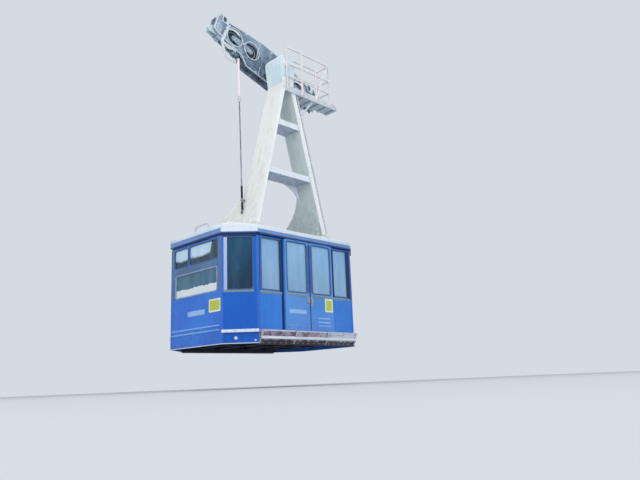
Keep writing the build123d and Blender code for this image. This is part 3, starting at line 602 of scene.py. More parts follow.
def windowPane(name, foot, head, low, high, misty, lowVeil, highVeil, haze=0.3, wave=0.0, cornerShade=0.0, shadeBand=0.0,
               frostTop=-0.56):
    # a see-through pane, darker below a wavy line and with frost at its foot; the line drops at one end, which paints
    # shade into that corner, and a dark band of painted shade can lie below the upper panes
    wire, shader = newMaterial(name, IOR=1.45)
    place = wire.coords()
    height = wire.split(place, 2)
    sideways = wire.times(wire.split(place, 1), wire.math("SIGN", wire.split(place, 0)))
    lifted = wire.math("ADD", height, wire.times(wire.noise(place, 3.0, 4.0), wave))
    # the line dropping at one end is painted shade in that corner
    line = wire.math("SUBTRACT", lifted, wire.times(wire.ramp(sideways, 0.50, 0.66), cornerShade))
    rise = wire.ramp(line, beltLevel + foot, beltLevel + head)
    mist = wire.cloud(1.4, 4.0, 0.3, 0.75, stretch=(3.0, 3.0, 0.8))
    # a band drawn towards near-black just below the upper panes: painted shade
    dark = wire.times(wire.ramp(height, beltLevel + 0.55, beltLevel + 0.68), shadeBand)
    tone = wire.mix(rise, wire.mix(dark, low, "#0c1a2b"), high)
    tone = wire.mix(wire.times(mist, haze), tone, misty)
    ragged = wire.math("ADD", beltLevel + frostTop, wire.times(wire.noise(place, 6.0, 5.0), 0.12))
    frost = wire.math("LESS_THAN", height, ragged)
    veil = wire.math("ADD", wire.ramp(rise, 0.0, 1.0, lowVeil, highVeil), wire.times(mist, 0.12))
    wire.join(wire.math("MAXIMUM", veil, wire.times(frost, 0.93), clamp=True), shader.inputs["Alpha"])
    wire.finish(shader, wire.mix(frost, tone, "#eef5fb"), wire.math("MULTIPLY_ADD", frost, 0.5, 0.06))


def plainCover(name, base, worn):
    # moulded cover with a fine grain
    wire, shader = newMaterial(name)
    grain = wire.noise(wire.coords(), 30.0, 5.0, 0.6)
    tone = wire.mix(wire.ramp(grain, 0.3, 0.75), base, worn)
    wire.finish(shader, tone, wire.ramp(grain, 0.2, 0.8, 0.48, 0.75), grain)


def slattedWood(name):
    wire, shader = newMaterial(name, Coat_Weight=0.3)
    rings = wire.noise(wire.coords((60.0, 3.0, 60.0)), 1.0, 4.0, 0.6)
    tone = wire.mix(wire.ramp(rings, 0.35, 0.7), "#9a6b3c", "#6f4826")
    wire.finish(shader, tone, wire.ramp(rings, 0.3, 0.7, 0.35, 0.6))


def steppedApron(name):
    # mottled, scraped paint that is bleached pale towards the rear end, with painted shade darkening its lower part
    wire, shader = newMaterial(name)
    place = wire.coords()
    mottle = wire.cloud(7.0, 5.0, 0.36, 0.66, 0.65)
    rear = wire.ramp(wire.split(place, 0), -0.05, -0.75)
    scrape = wire.cloud(3.0, 4.0, 0.25, 0.6, stretch=(2.0, 2.0, 9.0))
    tone = wire.mix(wire.times(rear, scrape), wire.mix(mottle, "#5f5266", "#bcb0c4"), "#dfe3f0")
    # below a ragged line the apron is painted near-black: painted shade below the rubbing bar
    shadeLine = wire.math("ADD", wire.split(place, 2), wire.times(mottle, 0.03))
    lower = wire.ramp(shadeLine, beltLevel - 0.975, beltLevel - 1.01)
    tone = wire.mix(wire.times(lower, 0.93), tone, "#33262c")
    tone = wire.mix(wire.ramp(wire.normalUp(), 0.25, 0.75), tone, "#f3eff6")
    wire.finish(shader, tone, wire.ramp(mottle, 0.0, 1.0, 0.45, 0.7), mottle, 0.35, 0.004)


def rodPaint(name):
    # pale paint on the upper length, grey and stained below the joint
    wire, shader = newMaterial(name)
    stain = wire.cloud(5.0, 4.0, 0.35, 0.7)
    rise = wire.ramp(wire.split(wire.coords(), 2), beltLevel + 4.66, beltLevel + 4.72)
    tone = wire.mix(rise, wire.mix(stain, "#6d6770", "#9a95a0"), "#f3e8ec")
    wire.finish(shader, tone, wire.ramp(stain, 0.0, 1.0, 0.35, 0.55))


windowPane("sidePane", 0.02, 1.115, "#98c4ea", "#9ed2fd", "#c6dcf2", 0.72, 0.66)
windowPane("cornerPane", 0.02, 1.115, "#0f3350", "#1d4f78", "#2e6a86", 0.80, 0.72, haze=0.5)
windowPane("endPane", 0.92, 0.99, "#44718f", "#cfeaff", "#7ba4b8", 0.78, 0.97, wave=0.18, cornerShade=0.5, shadeBand=0.8,
           frostTop=0.14)
galvanisedSteel("zincGrey", "#dfe6ec", "#bfcad3", "#e9eef2")
galvanisedSteel("zincPale", "#fcf6f7", "#ece3e8", "#ffffff")
bareSteel("pinSteel", "#8b949c", "#5d666f")
bareSteel("poleSteel", "#c2c8ce", "#98a1aa")
rubber("blackRubber", "#10131b", "#23283a")
rubber("sealSlate", "#3a587e", "#4f7099")
rubber("floorRubber", "#26282c", "#3a3c40")
rubber("greyRubber", "#8fa3ad", "#b9c6cb")
castWheel("wheelCasting")
steppedApron("apronMottled")
rodPaint("rodPaint")
plainCover("deskGrey", "#454b55", "#565d69")
slattedWood("benchWood")

finishOf = {
    "bodyBlue": "side_bays", "endBlue": "end_wall_front end_wall_rear", "cornerBlue": "corner_panels",
    "doorBlue": "door_near_front door_near_rear door_far_front door_far_rear", "headBlue": "door_headers",
    "ribBlue": "end_ledges", "gutterNavy": "cant_rail", "roofPale": "roof_shell roof_hatch",
    "zincGrey": "roof_rails service_platform hanger_ladder brake_lever", "zincPale": "platform_railing",
    "rodPaint": "brake_rod", "hangerWhite": "hanger_leg_front hanger_feet", "headWhite": "hanger_head",
    "legShaded": "hanger_leg_rear", "rungWhite": "hanger_rungs", "rockerGrey": "rocker_front rocker_rear",
    "carriageGrey": "carriage_frame carriage_ties haul_clevises", "tipPale": "rope_brakes rope_guides",
    "wheelCasting": "wheel_1 wheel_2 wheel_3 wheel_4", "pinSteel": "pivot_pin", "apronMottled": "side_steps",
    "strakeWhite": "corner_bumpers", "chassisDark": "underframe side_sills", "floorRubber": "floor_deck floor_hatch",
    "poleSteel": "grab_poles handrails", "deskGrey": "control_desk", "benchWood": "bench",
    "sidePane": "side_glass door_glass_near_front door_glass_near_rear door_glass_far_front door_glass_far_rear",
    "cornerPane": "corner_glass", "endPane": "end_glass",
}
for finish, nodeNames in finishOf.items():
    for nodeName in nodeNames.split():
        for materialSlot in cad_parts[nodeName].material_slots:
            materialSlot.material = made[finish]
print("materials made and set")

# The cabin's eight walls: the middle of each at the belt line, and its way out
chamferMiddle = np.array([endX + sideHalf, sideY + endHalf]) / 2
chamferWay = np.array([sideY - endHalf, endX - sideHalf])
chamferWidth = float(np.hypot(*chamferWay))
walls = {"near": ((0, sideY), (0, 1)), "far": ((0, -sideY), (0, -1)),
         "front": ((endX, 0), (1, 0)), "rear": ((-endX, 0), (-1, 0))}
turns = [(1, 1), (1, -1), (-1, 1), (-1, -1)]  # towards the front or rear, towards the near or far side
cornerWalls = {turn: "corner%d" % k for k, turn in enumerate(turns)}
for turn, wallName in cornerWalls.items():
    walls[wallName] = (chamferMiddle * turn, chamferWay * turn)


def onWall(shape, wall, along=0.0, level=0.0, out=0.0):
    # a shape drawn flat is set upright on a wall, its x to the right as seen from outside and its y up
    middle, way = walls[wall]
    normal = unit((*way, 0.0))
    across = np.cross((0, 0, 1), normal)
    origin = np.array([*middle, 0.0]) + across * along + normal * out + (0, 0, level)
    return inCabin(shape, origin, across, normal)


def onSide(shape, side, x, level=0.0, out=0.0):
    return onWall(shape, "near" if side > 0 else "far", -side * x, level, out)


def onEnds(shape, along, level, out=0.0):
    return [onWall(shape, wallName, along, level, out) for wallName in ("front", "rear")]


def onCorners(shape, along, level, out=0.0):
    # along is measured from each corner wall's middle towards the side
    return [onWall(shape, wallName, x * y * along, level, out) for (x, y), wallName in cornerWalls.items()]


doors = {"near_front": (1, 1), "near_rear": (1, -1), "far_front": (-1, 1), "far_rear": (-1, -1)}


def onLeaves(name, finish, spots, sharpAngle=35, ends=(1, -1)):
    # one piece for each door leaf; a spot is a shape, its way from the meeting edge, its level and its way out
    for doorName, (side, end) in doors.items():
        if end in ends:
            shapes = [onSide(shape, side, end * x, level, doorOut + out) for shape, x, level, out in spots]
            addPiece(name + "_" + doorName, "door_" + doorName, finish, shapes, sharpAngle)


# Rubber seals round the panes
seals = {
    "lip": 0.014,  # how far the seal reaches over the panel
    "cover": 0.012,  # how far it reaches over the pane
    "proud": 0.005, "depth": 0.0193, "leafDepth": 0.0175, "corner": 0.050, "levels": (0.02, 1.115),
    "cornerPane": (-0.025, chamferWidth - 0.170),  # middle and width
    "bays": [(1.07, 0.54), (-1.039, 0.602)], "leaf": (0.3745, 0.581),
    "ends": [(0.015, 0.28, 1.53, 0.5), (-0.5375, 0.9075, 0.525, 0.415), (0.2875, 0.9075, 1.025, 0.415)],
}
paneHeight = seals["levels"][1] - seals["levels"][0]
paneMiddle = sum(seals["levels"]) / 2


def windowSeal(width, height=paneHeight, depth=seals["depth"]):
    # an L-shaped profile carried round the rounded oblong of the opening
    lip, cover, proud = seals["lip"], seals["cover"], seals["proud"]
    profile = [(lip, 0.0002), (lip - 0.003, proud), (0.003 - cover, proud), (-cover, proud - 0.003),
               (-cover, -depth), (-0.0006, -depth), (-0.0006, 0.0002)]
    outline = roundedOutline(width, height, seals["corner"], 6)
    return carried(np.column_stack([outline, np.zeros(len(outline))]), profile, closePath=True)


cornerAlong, cornerWidth = seals["cornerPane"]
darkSeals = onCorners(windowSeal(cornerWidth), cornerAlong, paneMiddle)
darkSeals += [onSide(windowSeal(width), side, x, paneMiddle) for side in (1, -1) for x, width in seals["bays"]]
endSeals = [onEnds(windowSeal(width, height), along, level) for along, level, width, height in seals["ends"]]
addPiece("windowSeals", "cabin", "sealSlate", darkSeals + endSeals[1] + endSeals[2], 50)
addPiece("endWindowSeals", "cabin", "greyRubber", endSeals[0], 50)
leafAlong, leafWidth = seals["leaf"]
onLeaves("paneSeal", "sealSlate",
         [(windowSeal(leafWidth, depth=seals["leafDepth"]), leafAlong, paneMiddle, 0)], 50)

# Trim of the door leaves: rubber nosing where they meet, belt strip, pull handle and bottom guard
leafTrim = {
    "nosing": (0.0065, doorHead - doorFoot - 0.07, 0.005), "nosingAlong": 0.0045,
    "belt": (0.60, 0.056, 0.006), "beltPlace": (0.368, -0.036),
    "handlePlate": (0.050, 0.20, 0.012, 0.004), "handlePlace": (0.052, -0.15), "grip": (0.13, 0.034, 0.008),
    "guard": (0.68, 0.10, 0.01, 0.004), "guardPlace": (0.367, -0.735), "guardRivets": (0.32, 0.036, 0.006),
}
onLeaves("leafNosing", "blackRubber",
         [(roundedStrip(*leafTrim["nosing"]), leafTrim["nosingAlong"] + leafTrim["nosing"][0] / 2,
           (doorHead + doorFoot) / 2, 0)])
onLeaves("leafBelt", "beltGreen", [(roundedStrip(*leafTrim["belt"]), *leafTrim["beltPlace"], 0)])
onLeaves("leafHandle", "poleSteel",
         [(plate(*leafTrim["handlePlate"]), *leafTrim["handlePlace"], 0),
          (bowHandle(*leafTrim["grip"]), *leafTrim["handlePlace"], 0.003)], 40)
halfRow, halfGap, rivetRadius = leafTrim["guardRivets"]
guardRivets = repeated(domeRivet(rivetRadius), [(u, v, leafTrim["guard"][3]) for v in (-halfGap, halfGap)
                                                for u in np.linspace(-halfRow, halfRow, 12)])
onLeaves("leafGuard", "doorBlue",
         [(joined([plate(*leafTrim["guard"]), guardRivets]), *leafTrim["guardPlace"], 0)])
print("seals and door trim set")

# Strips, bands and bars on the body
bodyTrim = {
    # dark uprights on the sides, dark rubber edges with painted shadow beside the door edges and at the rear corner:
    # middle, width, levels and thickness
    "uprights": [(0.765, 0.056, (-0.84, 1.14), 0.0025), (-1.381, 0.076, (0.0, 1.14), 0.0025),
                 (1.383, 0.030, (0.0, 1.14), 0.0025), (-0.815, 0.040, (0.0, 1.118), 0.0065),
                 (0.815, 0.040, (0.0, 1.118), 0.0065), (-1.330, 0.110, (0.0, 1.118), 0.0065)],
    "head": (chamferWidth - 0.01, (1.118, 1.149), 0.0025), "cornerBar": (0.072, (0.012, 1.112), 0.007),
    "cornerBarAlong": -0.292, "endPost": (0.10, (0.02, 1.145), 0.004), "endPostAlong": 0.866,
    "beltLevel": -0.036, "bayBelt": (0.05, 0.056, 0.0045), "cornerBelt": (0.62, 0.05, 0.0045),
    "cornerBeltLevel": -0.012, "sash": (1.56, 0.112, 0.01, 0.004, 0.001), "sashPlace": (0.015, 0.616),
    "fasciaPlate": (chamferWidth + 0.015, 0.108, 0.004, 0.002, 0.0005), "fasciaPlace": (0, 1.282, 0.0302),
    "cover": (0.030, 0.003), "coverLevels": (skirtFoot + 0.02, roofFoot - 0.055), "flange": 0.012,
}


def upright(width, levels, thickness):
    return repeated(plate(width, levels[1] - levels[0], 0.003, thickness, 0.001), [(0, sum(levels) / 2, 0)])


shadowBandShapes = [onSide(upright(width, levels, thickness), side, x) for side in (1, -1)
              for x, width, levels, thickness in bodyTrim["uprights"]]
# a dark strip at the head of each corner wall: dark gutter paint and painted shadow under the roof
shadowBandShapes += onCorners(upright(*bodyTrim["head"]), 0, 0)
margin, beltHeight, beltRise = bodyTrim["bayBelt"]
beltShapes = [onSide(roundedStrip(width + margin, beltHeight, beltRise), side, x, bodyTrim["beltLevel"])
              for side in (1, -1) for x, width in seals["bays"]]
beltShapes += onCorners(roundedStrip(*bodyTrim["cornerBelt"]), cornerAlong, bodyTrim["cornerBeltLevel"])
endPosts = [onEnds(upright(*bodyTrim["endPost"]), edge * bodyTrim["endPostAlong"], 0) for edge in (1, -1)]
addPiece("cornerFasciaPlates", "cabin", "frostedRim",
         onCorners(plate(*bodyTrim["fasciaPlate"]), *bodyTrim["fasciaPlace"]))
addPiece("endSashBars", "cabin", "sashSlate",
         sum(endPosts, onEnds(plate(*bodyTrim["sash"]), *bodyTrim["sashPlace"])))
# the bars stand in for the pale edge of the corner window frame: painted highlight
addPiece("cornerGlazingBars", "cabin", "barLilac",
         onCorners(upright(*bodyTrim["cornerBar"]), bodyTrim["cornerBarAlong"], 0))
# dark navy strips, partly dark rubber and gutter paint and partly painted shadow
addPiece("doorwayBands", "cabin", "bandNavy", shadowBandShapes)
addPiece("bayBelts", "cabin", "beltGreen", beltShapes)


def cornerCover(corner, turnLow, turnHigh):
    # an angle strip bent round an upright corner of the plan and carried up it
    width, thick = bodyTrim["cover"]
    corner, ways = np.array(corner), unit([turnLow, turnHigh])
    normals = ways[:, ::-1] * [(-1, 1), (1, -1)]
    normals *= np.sign(normals @ corner)[:, None]
    tip = corner + unit(normals.sum(0)) * thick * 1.25
    outline = np.array([corner + ways[0] * width, corner + ways[0] * width + normals[0] * thick, tip,
                        corner + ways[1] * width + normals[1] * thick, corner + ways[1] * width, corner])
    return inCabin(stacked([outline, outline], bodyTrim["coverLevels"]), (0, 0, 0))


coverShapes, flangeShapes = [], []
for x, y in turns:
    alongChamfer = np.array([x * (sideHalf - endX), y * (sideY - endHalf)])
    coverShapes.append(cornerCover((x * endX, y * endHalf), (0, -y), alongChamfer))
    coverShapes.append(cornerCover((x * sideHalf, y * sideY), (-x, 0), -alongChamfer))
addPiece("cornerCovers", "cabin", "coverBlue", coverShapes, 30)
size = bodyTrim["flange"]
for x in (1, -1):
    path = [(x * sideHalf, sideY), (x * endX, endHalf), (x * endX, -endHalf), (x * sideHalf, -sideY)]
    profile = np.array([(-0.002, -sunk), (size, -sunk), (size, size), (0.0005, size)]) * (-x, 1)
    flangeShapes.append(carried(fromCabin(np.column_stack([path, np.full(4, skirtFoot)])), profile))
addPiece("skirtFlanges", "cabin", "strakeWhite", flangeShapes, 30)

# Rivets in columns at the edges of the walls and in rows along their feet
rivetry = {"radius": 0.0055, "pitch": 0.075, "edge": 0.042, "rowLevels": (skirtFoot + 0.035, -0.60),
           "sideColumns": (0.83, 1.36, -0.77, -1.33), "sideLevels": (-0.80, -0.08), "fasciaLevel": 1.222}


def rivetsAt(alongs, levels, radius=rivetry["radius"]):
    return repeated(domeRivet(radius), [(u, v, 0) for u in alongs for v in levels])


rivetShapes, fasciaRivets = [], []
columns = np.arange(skirtFoot + 0.05, roofFoot - 0.08, rivetry["pitch"])
for wallName, half in [("front", endHalf), ("rear", endHalf)] + [(name, chamferWidth / 2)
                                                                 for name in cornerWalls.values()]:
    rivetShapes.append(onWall(rivetsAt((rivetry["edge"] - half, half - rivetry["edge"]), columns), wallName))
    rivetShapes.append(onWall(rivetsAt(np.arange(-half + 0.1, half - 0.09, rivetry["pitch"]), rivetry["rowLevels"]),
                              wallName))
sideRivets = rivetsAt((0,), np.arange(*rivetry["sideLevels"], rivetry["pitch"]))
rivetShapes += [onSide(sideRivets, side, x) for side in (1, -1) for x in rivetry["sideColumns"]]
addPiece("panelRivets", "cabin", "rivetBlue", rivetShapes)
for wallName, half in [("front", endHalf), ("rear", endHalf), ("near", sideHalf), ("far", sideHalf)]:
    rivets = rivetsAt(np.arange(-half + 0.08, half - 0.07, 0.12), (rivetry["fasciaLevel"],), 0.006)
    fasciaRivets.append(onWall(rivets, wallName, out=0.030))
addPiece("fasciaRivets", "cabin", "fasciaBlue", fasciaRivets)

# Blank notices, blank name plates and the pale rubbed strips and stiles of the leaves
notices = {
    "frontEnd": ("cabin", "front", 0.70, -0.27, 0.40, 0.27, 0.0),
    "rearEnd": ("cabin", "rear", 0.70, -0.27, 0.40, 0.27, 0.0),
    "nearDoor": ("door_near_rear", "near", 0.585, -0.215, 0.25, 0.30, doorOut),
    "farDoor": ("door_far_rear", "far", -0.585, -0.215, 0.25, 0.30, doorOut),
}
noticeBorder = 0.034
plates = {
    "end": (0.62, 0.105, 0.01, 0.003, 0.001), "endPlace": (0.04, -0.365),
    "leaf": (0.50, 0.085, 0.01, 0.003, 0.001), "leafPlace": (0.375, -0.398),
    "scuff": (0.38, 0.030, 0.006, 0.0015, 0.0005), "scuffAlong": 0.43, "scuffLevels": (-0.515, -0.600, -0.685),
    "stile": (0.064, 1.06, 0.004, 0.0025, 0.0005), "stilePlace": (0.0475, 0.565),
}
for label, (body, wallName, along, level, width, height, out) in notices.items():
    rim = plate(width, height, 0.02, 0.0015, 0.0005)
    field = plate(width - 2 * noticeBorder, height - 2 * noticeBorder, 0.012, 0.0025, 0.0005)
    addPiece("noticeRim_" + label, body, "noticePale", onWall(rim, wallName, along, level, out))
    addPiece("noticeField_" + label, body, "noticeYellow", onWall(field, wallName, along, level, out))
addPiece("endNamePlates", "cabin", "plateSky", onEnds(plate(*plates["end"]), *plates["endPlace"]))
onLeaves("leafPlate", "leafSky", [(plate(*plates["leaf"]), *plates["leafPlace"], 0)], ends=(1,))
onLeaves("leafPlate", "leafSky",
         [(plate(*plates["scuff"]), plates["scuffAlong"], level, 0) for level in plates["scuffLevels"]], ends=(-1,))
onLeaves("leafStile", "stileBlue", [(plate(*plates["stile"]), *plates["stilePlace"], 0)])
print("body trim set")

# Roof: rolled rim, drip rail, standing seams and the hatch's ironwork
roof = {
    "reach": sideY + 0.030, "endReach": endX + 0.030, "shoulder": 1.340, "camber": 0.125,
    "hipRise": 0.025, "hipStation": 1.5, "drip": 0.007,
    # folded edge, out from the fascia and up from its top
    "rim": [(0.0055, -0.056), (0.0065, 0.010), (0.002, 0.026), (-0.006, 0.030), (-0.020, 0.026), (-0.026, 0.004),
            (-0.060, 0.003), (-0.060, -0.004), (0.0, -0.004), (0.0, -0.056)],
    "seamPlaces": (-1.33, -0.62, 0.62, 1.33), "seam": (0.005, 0.022), "lidMiddle": -0.06, "lidTop": 1.503,
    "hinges": (-0.22, 0.22), "hingeLine": (0.304, 1.500), "barrel": (0.011, 0.045),
    "strap": (0.07, 0.12, 0.008, 0.005), "strapLine": 0.245, "strapBolts": (0.007, (-0.02, 0.02), (-0.035, 0.0), 0),
    "lug": (0.024, 0.060, 0.010, 0.008), "lugPlace": (0.056, 0.334, 1.456), "pull": (0.20, 0.045, 0.008),
    "pullPlace": -0.34, "ribs": [(0.045, 0.60, 0.012, 0.010, 0.004), (0.60, 0.045, 0.012, 0.010, 0.004)],
}


def roofTop(x, y):
    # the lower of the arch across the cabin and the slope at its ends
    radius = (roof["reach"] ** 2 + roof["camber"] ** 2) / (2 * roof["camber"])
    arch = roof["shoulder"] + roof["camber"] - radius + np.sqrt(radius ** 2 - np.asarray(y) ** 2)
    share = np.clip((roof["endReach"] - np.abs(x)) / (roof["endReach"] - roof["hipStation"]), 0, 1)
    return np.minimum(arch, roof["shoulder"] + roof["hipRise"] + share * (roof["camber"] - roof["hipRise"]))


def planLoop(inset, pointsPerSide=2):
    # the eight corners of the plan moved in by the inset, with more points along each side
    rise, run = chamferWay / chamferWidth
    quarter = np.array([(endX - inset, endHalf - inset * (1 - rise) / run),
                        (sideHalf - inset * (1 - run) / rise, sideY - inset)])
    half = np.concatenate([quarter, quarter[::-1] * (-1, 1)])
    corners = np.concatenate([half, -half])
    share = np.arange(pointsPerSide) / pointsPerSide
    following = np.roll(corners, -1, 0)
    return (corners[:, None] + (following - corners)[:, None] * share[None, :, None]).reshape(-1, 2)


def roundTheRoof(name, finish, profile, plan, levels, sharpAngle):
    path = fromCabin(np.column_stack([plan, levels + np.zeros(len(plan))]))
    addPiece(name, "cabin", finish, carried(path, profile, closePath=True), sharpAngle)


rimPlan = planLoop(-0.030, 5)
roundTheRoof("roofRim", "frostedRim", roof["rim"], rimPlan, roofTop(*rimPlan.T), 50)
roundTheRoof("roofDripRail", "bandNavy", circle(roof["drip"], 6), planLoop(-0.030), roofFoot + roof["drip"], 60)
seamShapes = []
halfSeam, seamHeight = roof["seam"]
for x in roof["seamPlaces"]:
    y = np.linspace(0.02 - roof["reach"], roof["reach"] - 0.02, 25)
    path = np.column_stack([np.full(len(y), x), y, roofTop(x, y) - sunk])
    seamShapes.append(carried(fromCabin(path), [(halfSeam, 0), (halfSeam, seamHeight), (-halfSeam, seamHeight),
                                                (-halfSeam, 0)]))
addPiece("roofSeams", "cabin", "roofPale", seamShapes, 30)

radius, half = roof["barrel"]
lugReach, lugY, lugZ = roof["lugPlace"]
hingeShapes, lugs = [], []
for x in roof["hinges"]:
    barrel = turned([(0, -half), (radius, -half), (radius, half), (0, half)], 14)
    hingeShapes += [inCabin(barrel, (x, *roof["hingeLine"]), (0, 1, 0), (1, 0, 0)),
                    inCabin(plate(*roof["strap"]), (x, roof["strapLine"], roof["lidTop"] - 0.0005)),
                    inCabin(boltGrid(*roof["strapBolts"]), (x, roof["strapLine"], roof["lidTop"] + 0.004))]
    lugs += [inCabin(plate(*roof["lug"]), (x + edge * lugReach - 0.004, lugY, lugZ), (0, 1, 0), (1, 0, 0))
             for edge in (-1, 1)]
addPiece("hatchHinges", "roof_hatch", "zincGrey", hingeShapes, 40)
addPiece("hatchHingeLugs", "cabin", "zincGrey", lugs, 40)
addPiece("hatchPull", "roof_hatch", "zincGrey",
         inCabin(bowHandle(*roof["pull"]), (0, roof["pullPlace"], roof["lidTop"] - 0.002), (0, 1, 0)), 40)
addPiece("hatchRibs", "roof_hatch", "roofPale",
         [inCabin(plate(*rib), (0, roof["lidMiddle"], roof["lidTop"] - sunk)) for rib in roof["ribs"]])
print("roof trim set")

# Hanger: bolts and gussets at its feet, caps on its edges, boss and splice plates at its head, welds of the rungs
hanger = {
    "taper": 0.255, "footSpread": 1.160, "footLevel": 1.400, "footTop": 1.560, "thickness": 0.115,
    "footBolt": 0.016, "footBoltOut": 0.092, "footBoltRows": (-0.56, 0.96, 11), "gussets": (-0.33, 0.05, 0.43, 0.81),
    "gusset": (0.052, 0.12, 0.005),  # reach, rise and half its thickness
    "caps": [(0.960, 1, 1.60), (0.430, -1, 3.05)],  # line, way out and foot of each
    "capHead": 5.235, "cap": (0.016, 0.009, 0.003),  # lip, rise of the lip, skin between the lips
    "face": 0.960, "headLevel": 5.250, "splice": (0.13, 0.30, 0.012, 0.012),
    "spliceBolts": (0.011, (-0.038, 0.038), (-0.11, -0.04, 0.04, 0.11), 0.011),
    "pin": (0.0, 0.975, 5.790), "boss": [(0, 0.052), (0.03, 0.052), (0.055, 0.040), (0.075, 0.014), (0.098, 0.012),
                                         (0.100, 0), (0, 0)],
    "bossBolts": (0.010, 0.118, 8), "rungLevels": (4.19, 2.93), "weld": 0.008, "weldReach": (0.452, 0.938),
}
outwards = ((-1, 0, 0), (0, 1, 0))  # flat on a near face, its x towards the rear


def legOuter(z):
    return hanger["footSpread"] - hanger["taper"] * (np.asarray(z) - hanger["footLevel"])


footShapes, gussetShapes, capShapes, rungWelds = [], [], [], []
halfLeg = hanger["thickness"] / 2
footX = float(legOuter(hanger["footTop"])) - halfLeg
reach, rise, halfGusset = hanger["gusset"]
lip, lipRise, skin = hanger["cap"]
for end in (-1, 1):
    foot = (end * footX, 0, hanger["footTop"] - sunk)
    footShapes.append(inCabin(boltGrid(hanger["footBolt"], (-hanger["footBoltOut"], hanger["footBoltOut"]),
                                       np.linspace(*hanger["footBoltRows"]), 0), foot))
    lean = -end * hanger["taper"] * rise
    for edge in (-1, 1):
        face = edge * halfLeg
        triangle = np.array([(face - edge * 0.004, 0), (face + edge * reach, 0), (face + edge * reach, 0.01),
                             (face + lean + edge * 0.004, rise), (face + lean - edge * 0.004, rise)])
        gusset = lidded([np.insert(triangle, 1, dy, 1) for dy in (-halfGusset, halfGusset)])
        gussetShapes += [inCabin(gusset, np.add(foot, (0, y, 0))) for y in hanger["gussets"]]
    for y, out, capFoot in hanger["caps"]:
        levels = np.array([capFoot, hanger["capHead"]])
        half = halfLeg * math.hypot(1, hanger["taper"])
        profile = np.array([(-half, -sunk), (-half, lipRise), (lip - half, lipRise), (lip + 0.004 - half, skin),
                            (half - lip - 0.004, skin), (half - lip, lipRise), (half, lipRise), (half, -sunk)])
        path = np.column_stack([end * (legOuter(levels) - half), np.full(2, y), levels])
        capShapes.append(carried(fromCabin(path), profile * (1, out), (0, 1, 0)))
    for level in hanger["rungLevels"]:
        for z in (level - 0.071, level + 0.071):
            x = end * (float(legOuter(z)) - hanger["thickness"] - 0.004)
            path = fromCabin([(x, y, z) for y in hanger["weldReach"]])
            rungWelds.append(carried(path, circle(hanger["weld"], 6)))
addPiece("hangerFootBolts", "cabin", "zincGrey", footShapes, 30)
addPiece("hangerFootGussets", "cabin", "hangerWhite", gussetShapes, 30)
# the caps are in the lit white, so the rear leg's near faces show as lit beside its painted shade
addPiece("legCaps", "cabin", "legWhite", capShapes, 30)
addPiece("rungWelds", "cabin", "rungWhite", rungWelds, 60)
headShapes = [inCabin(turned(hanger["boss"], 28), np.subtract(hanger["pin"], (0, 0.001, 0)), *outwards),
              inCabin(boltRing(*hanger["bossBolts"], start=math.pi / 8), hanger["pin"], *outwards)]
splice = joined([plate(*hanger["splice"]), boltGrid(*hanger["spliceBolts"])])
spliceX = float(legOuter(hanger["headLevel"])) - halfLeg - 0.004
headShapes += [inCabin(splice, (end * spliceX, hanger["face"] - sunk, hanger["headLevel"]), *outwards)
               for end in (-1, 1)]
addPiece("hangerHeadPlates", "cabin", "hangerWhite", headShapes, 35)
print("hanger details set")

# Carriage, in the rope's own axes: edge strips, rings round the wheel openings, bolts, springs and hub caps
running = {
    "plateFace": 0.126, "wheelLine": 0.233, "rockers": {"rocker_rear": -0.85, "rocker_front": 0.85},
    "wheels": {"wheel_1": 1.13, "wheel_2": 0.57, "wheel_3": -0.57, "wheel_4": -1.13}, "opening": 0.228,
    "ring": (0.020, 0.010), "strip": (0.030, 0.007),  # width and rise
    "edge": [(0.62, -0.30), (0.82, -0.11), (1.08, -0.075), (1.60, -0.01), (1.74, 0.06), (1.74, 0.43), (1.69, 0.57),
             (1.59, 0.57), (1.56, 0.42), (1.44, 0.42), (1.40, 0.50), (0.85, 0.605), (0.30, 0.68)],
    # bolts on the plates: size, and their places along and above the rope at both ends
    "bolts": [(0.022, [(0.0, 0.62), (0.85, 0.55), (0.3, -0.25), (1.66, 0.215), (1.66, 0.5)]),
              (0.012, [(1.45, 0.12), (1.55, 0.12), (1.45, 0.18), (1.55, 0.18), (1.635, 0.12)]),
              (0.010, [(0.82, -0.043), (0.88, -0.043)])],
    "ribs": [(0.40, 0.06, 0.60), (0.22, -0.27, -0.03)],  # place along the rope, foot and head
    "ribWidth": 0.014, "ribRise": 0.018,
    "pinDrop": -0.17, "bossFace": 0.140, "pinCap": [(0, 0.016), (0.045, 0.016), (0.058, 0.010), (0.060, 0), (0, 0)],
    "pivotCap": [(0, 0.012), (0.022, 0.012), (0.032, 0.004), (0.034, 0), (0, 0)],
    "brakeStation": 1.5, "springLevels": (0.225, 0.600), "spring": (0.066, 0.009, 9), "springCap": (0.05, 0.074),
    "washer": (0.014, 0.012),  # beyond the spring's end and over it
    "keeper": (0.030, 0.070, 0.006, 0.006), "keeperBolts": (0.006, (0.0,), (-0.024, 0.024), 0.005),
    "keeperAside": 0.034, "keeperFace": 0.0795, "hubFace": 0.030,
    # rings of bolts: size, radius, count and the level they stand on
    "pinBolts": (0.009, 0.083, 6), "crownBolts": (0.007, 0.036, 4, 0.637), "hubBolts": (0.006, 0.053, 6, 0.012),
    "hub": [(0.032, -sunk), (0.066, -sunk), (0.064, 0.010), (0.048, 0.016), (0.032, 0.016), (0.032, -sunk)],
    "rim": [(0.1655, -sunk), (0.1655, 0.018), (0.152, 0.004), (0.150, -sunk), (0.1655, -sunk)],
}
ropeAlong, ropeAbove = fromRope((1, 0, 0)), fromRope((0, 0, 1))


def onRope(shape, s, n, y, side=1):
    # a shape drawn flat stands on the carriage's near or far face, its x along the rope and its z outwards
    return placed(shape, fromRope((s, y * side, n)), ropeAlong * -side, np.array([0.0, side, 0.0]))


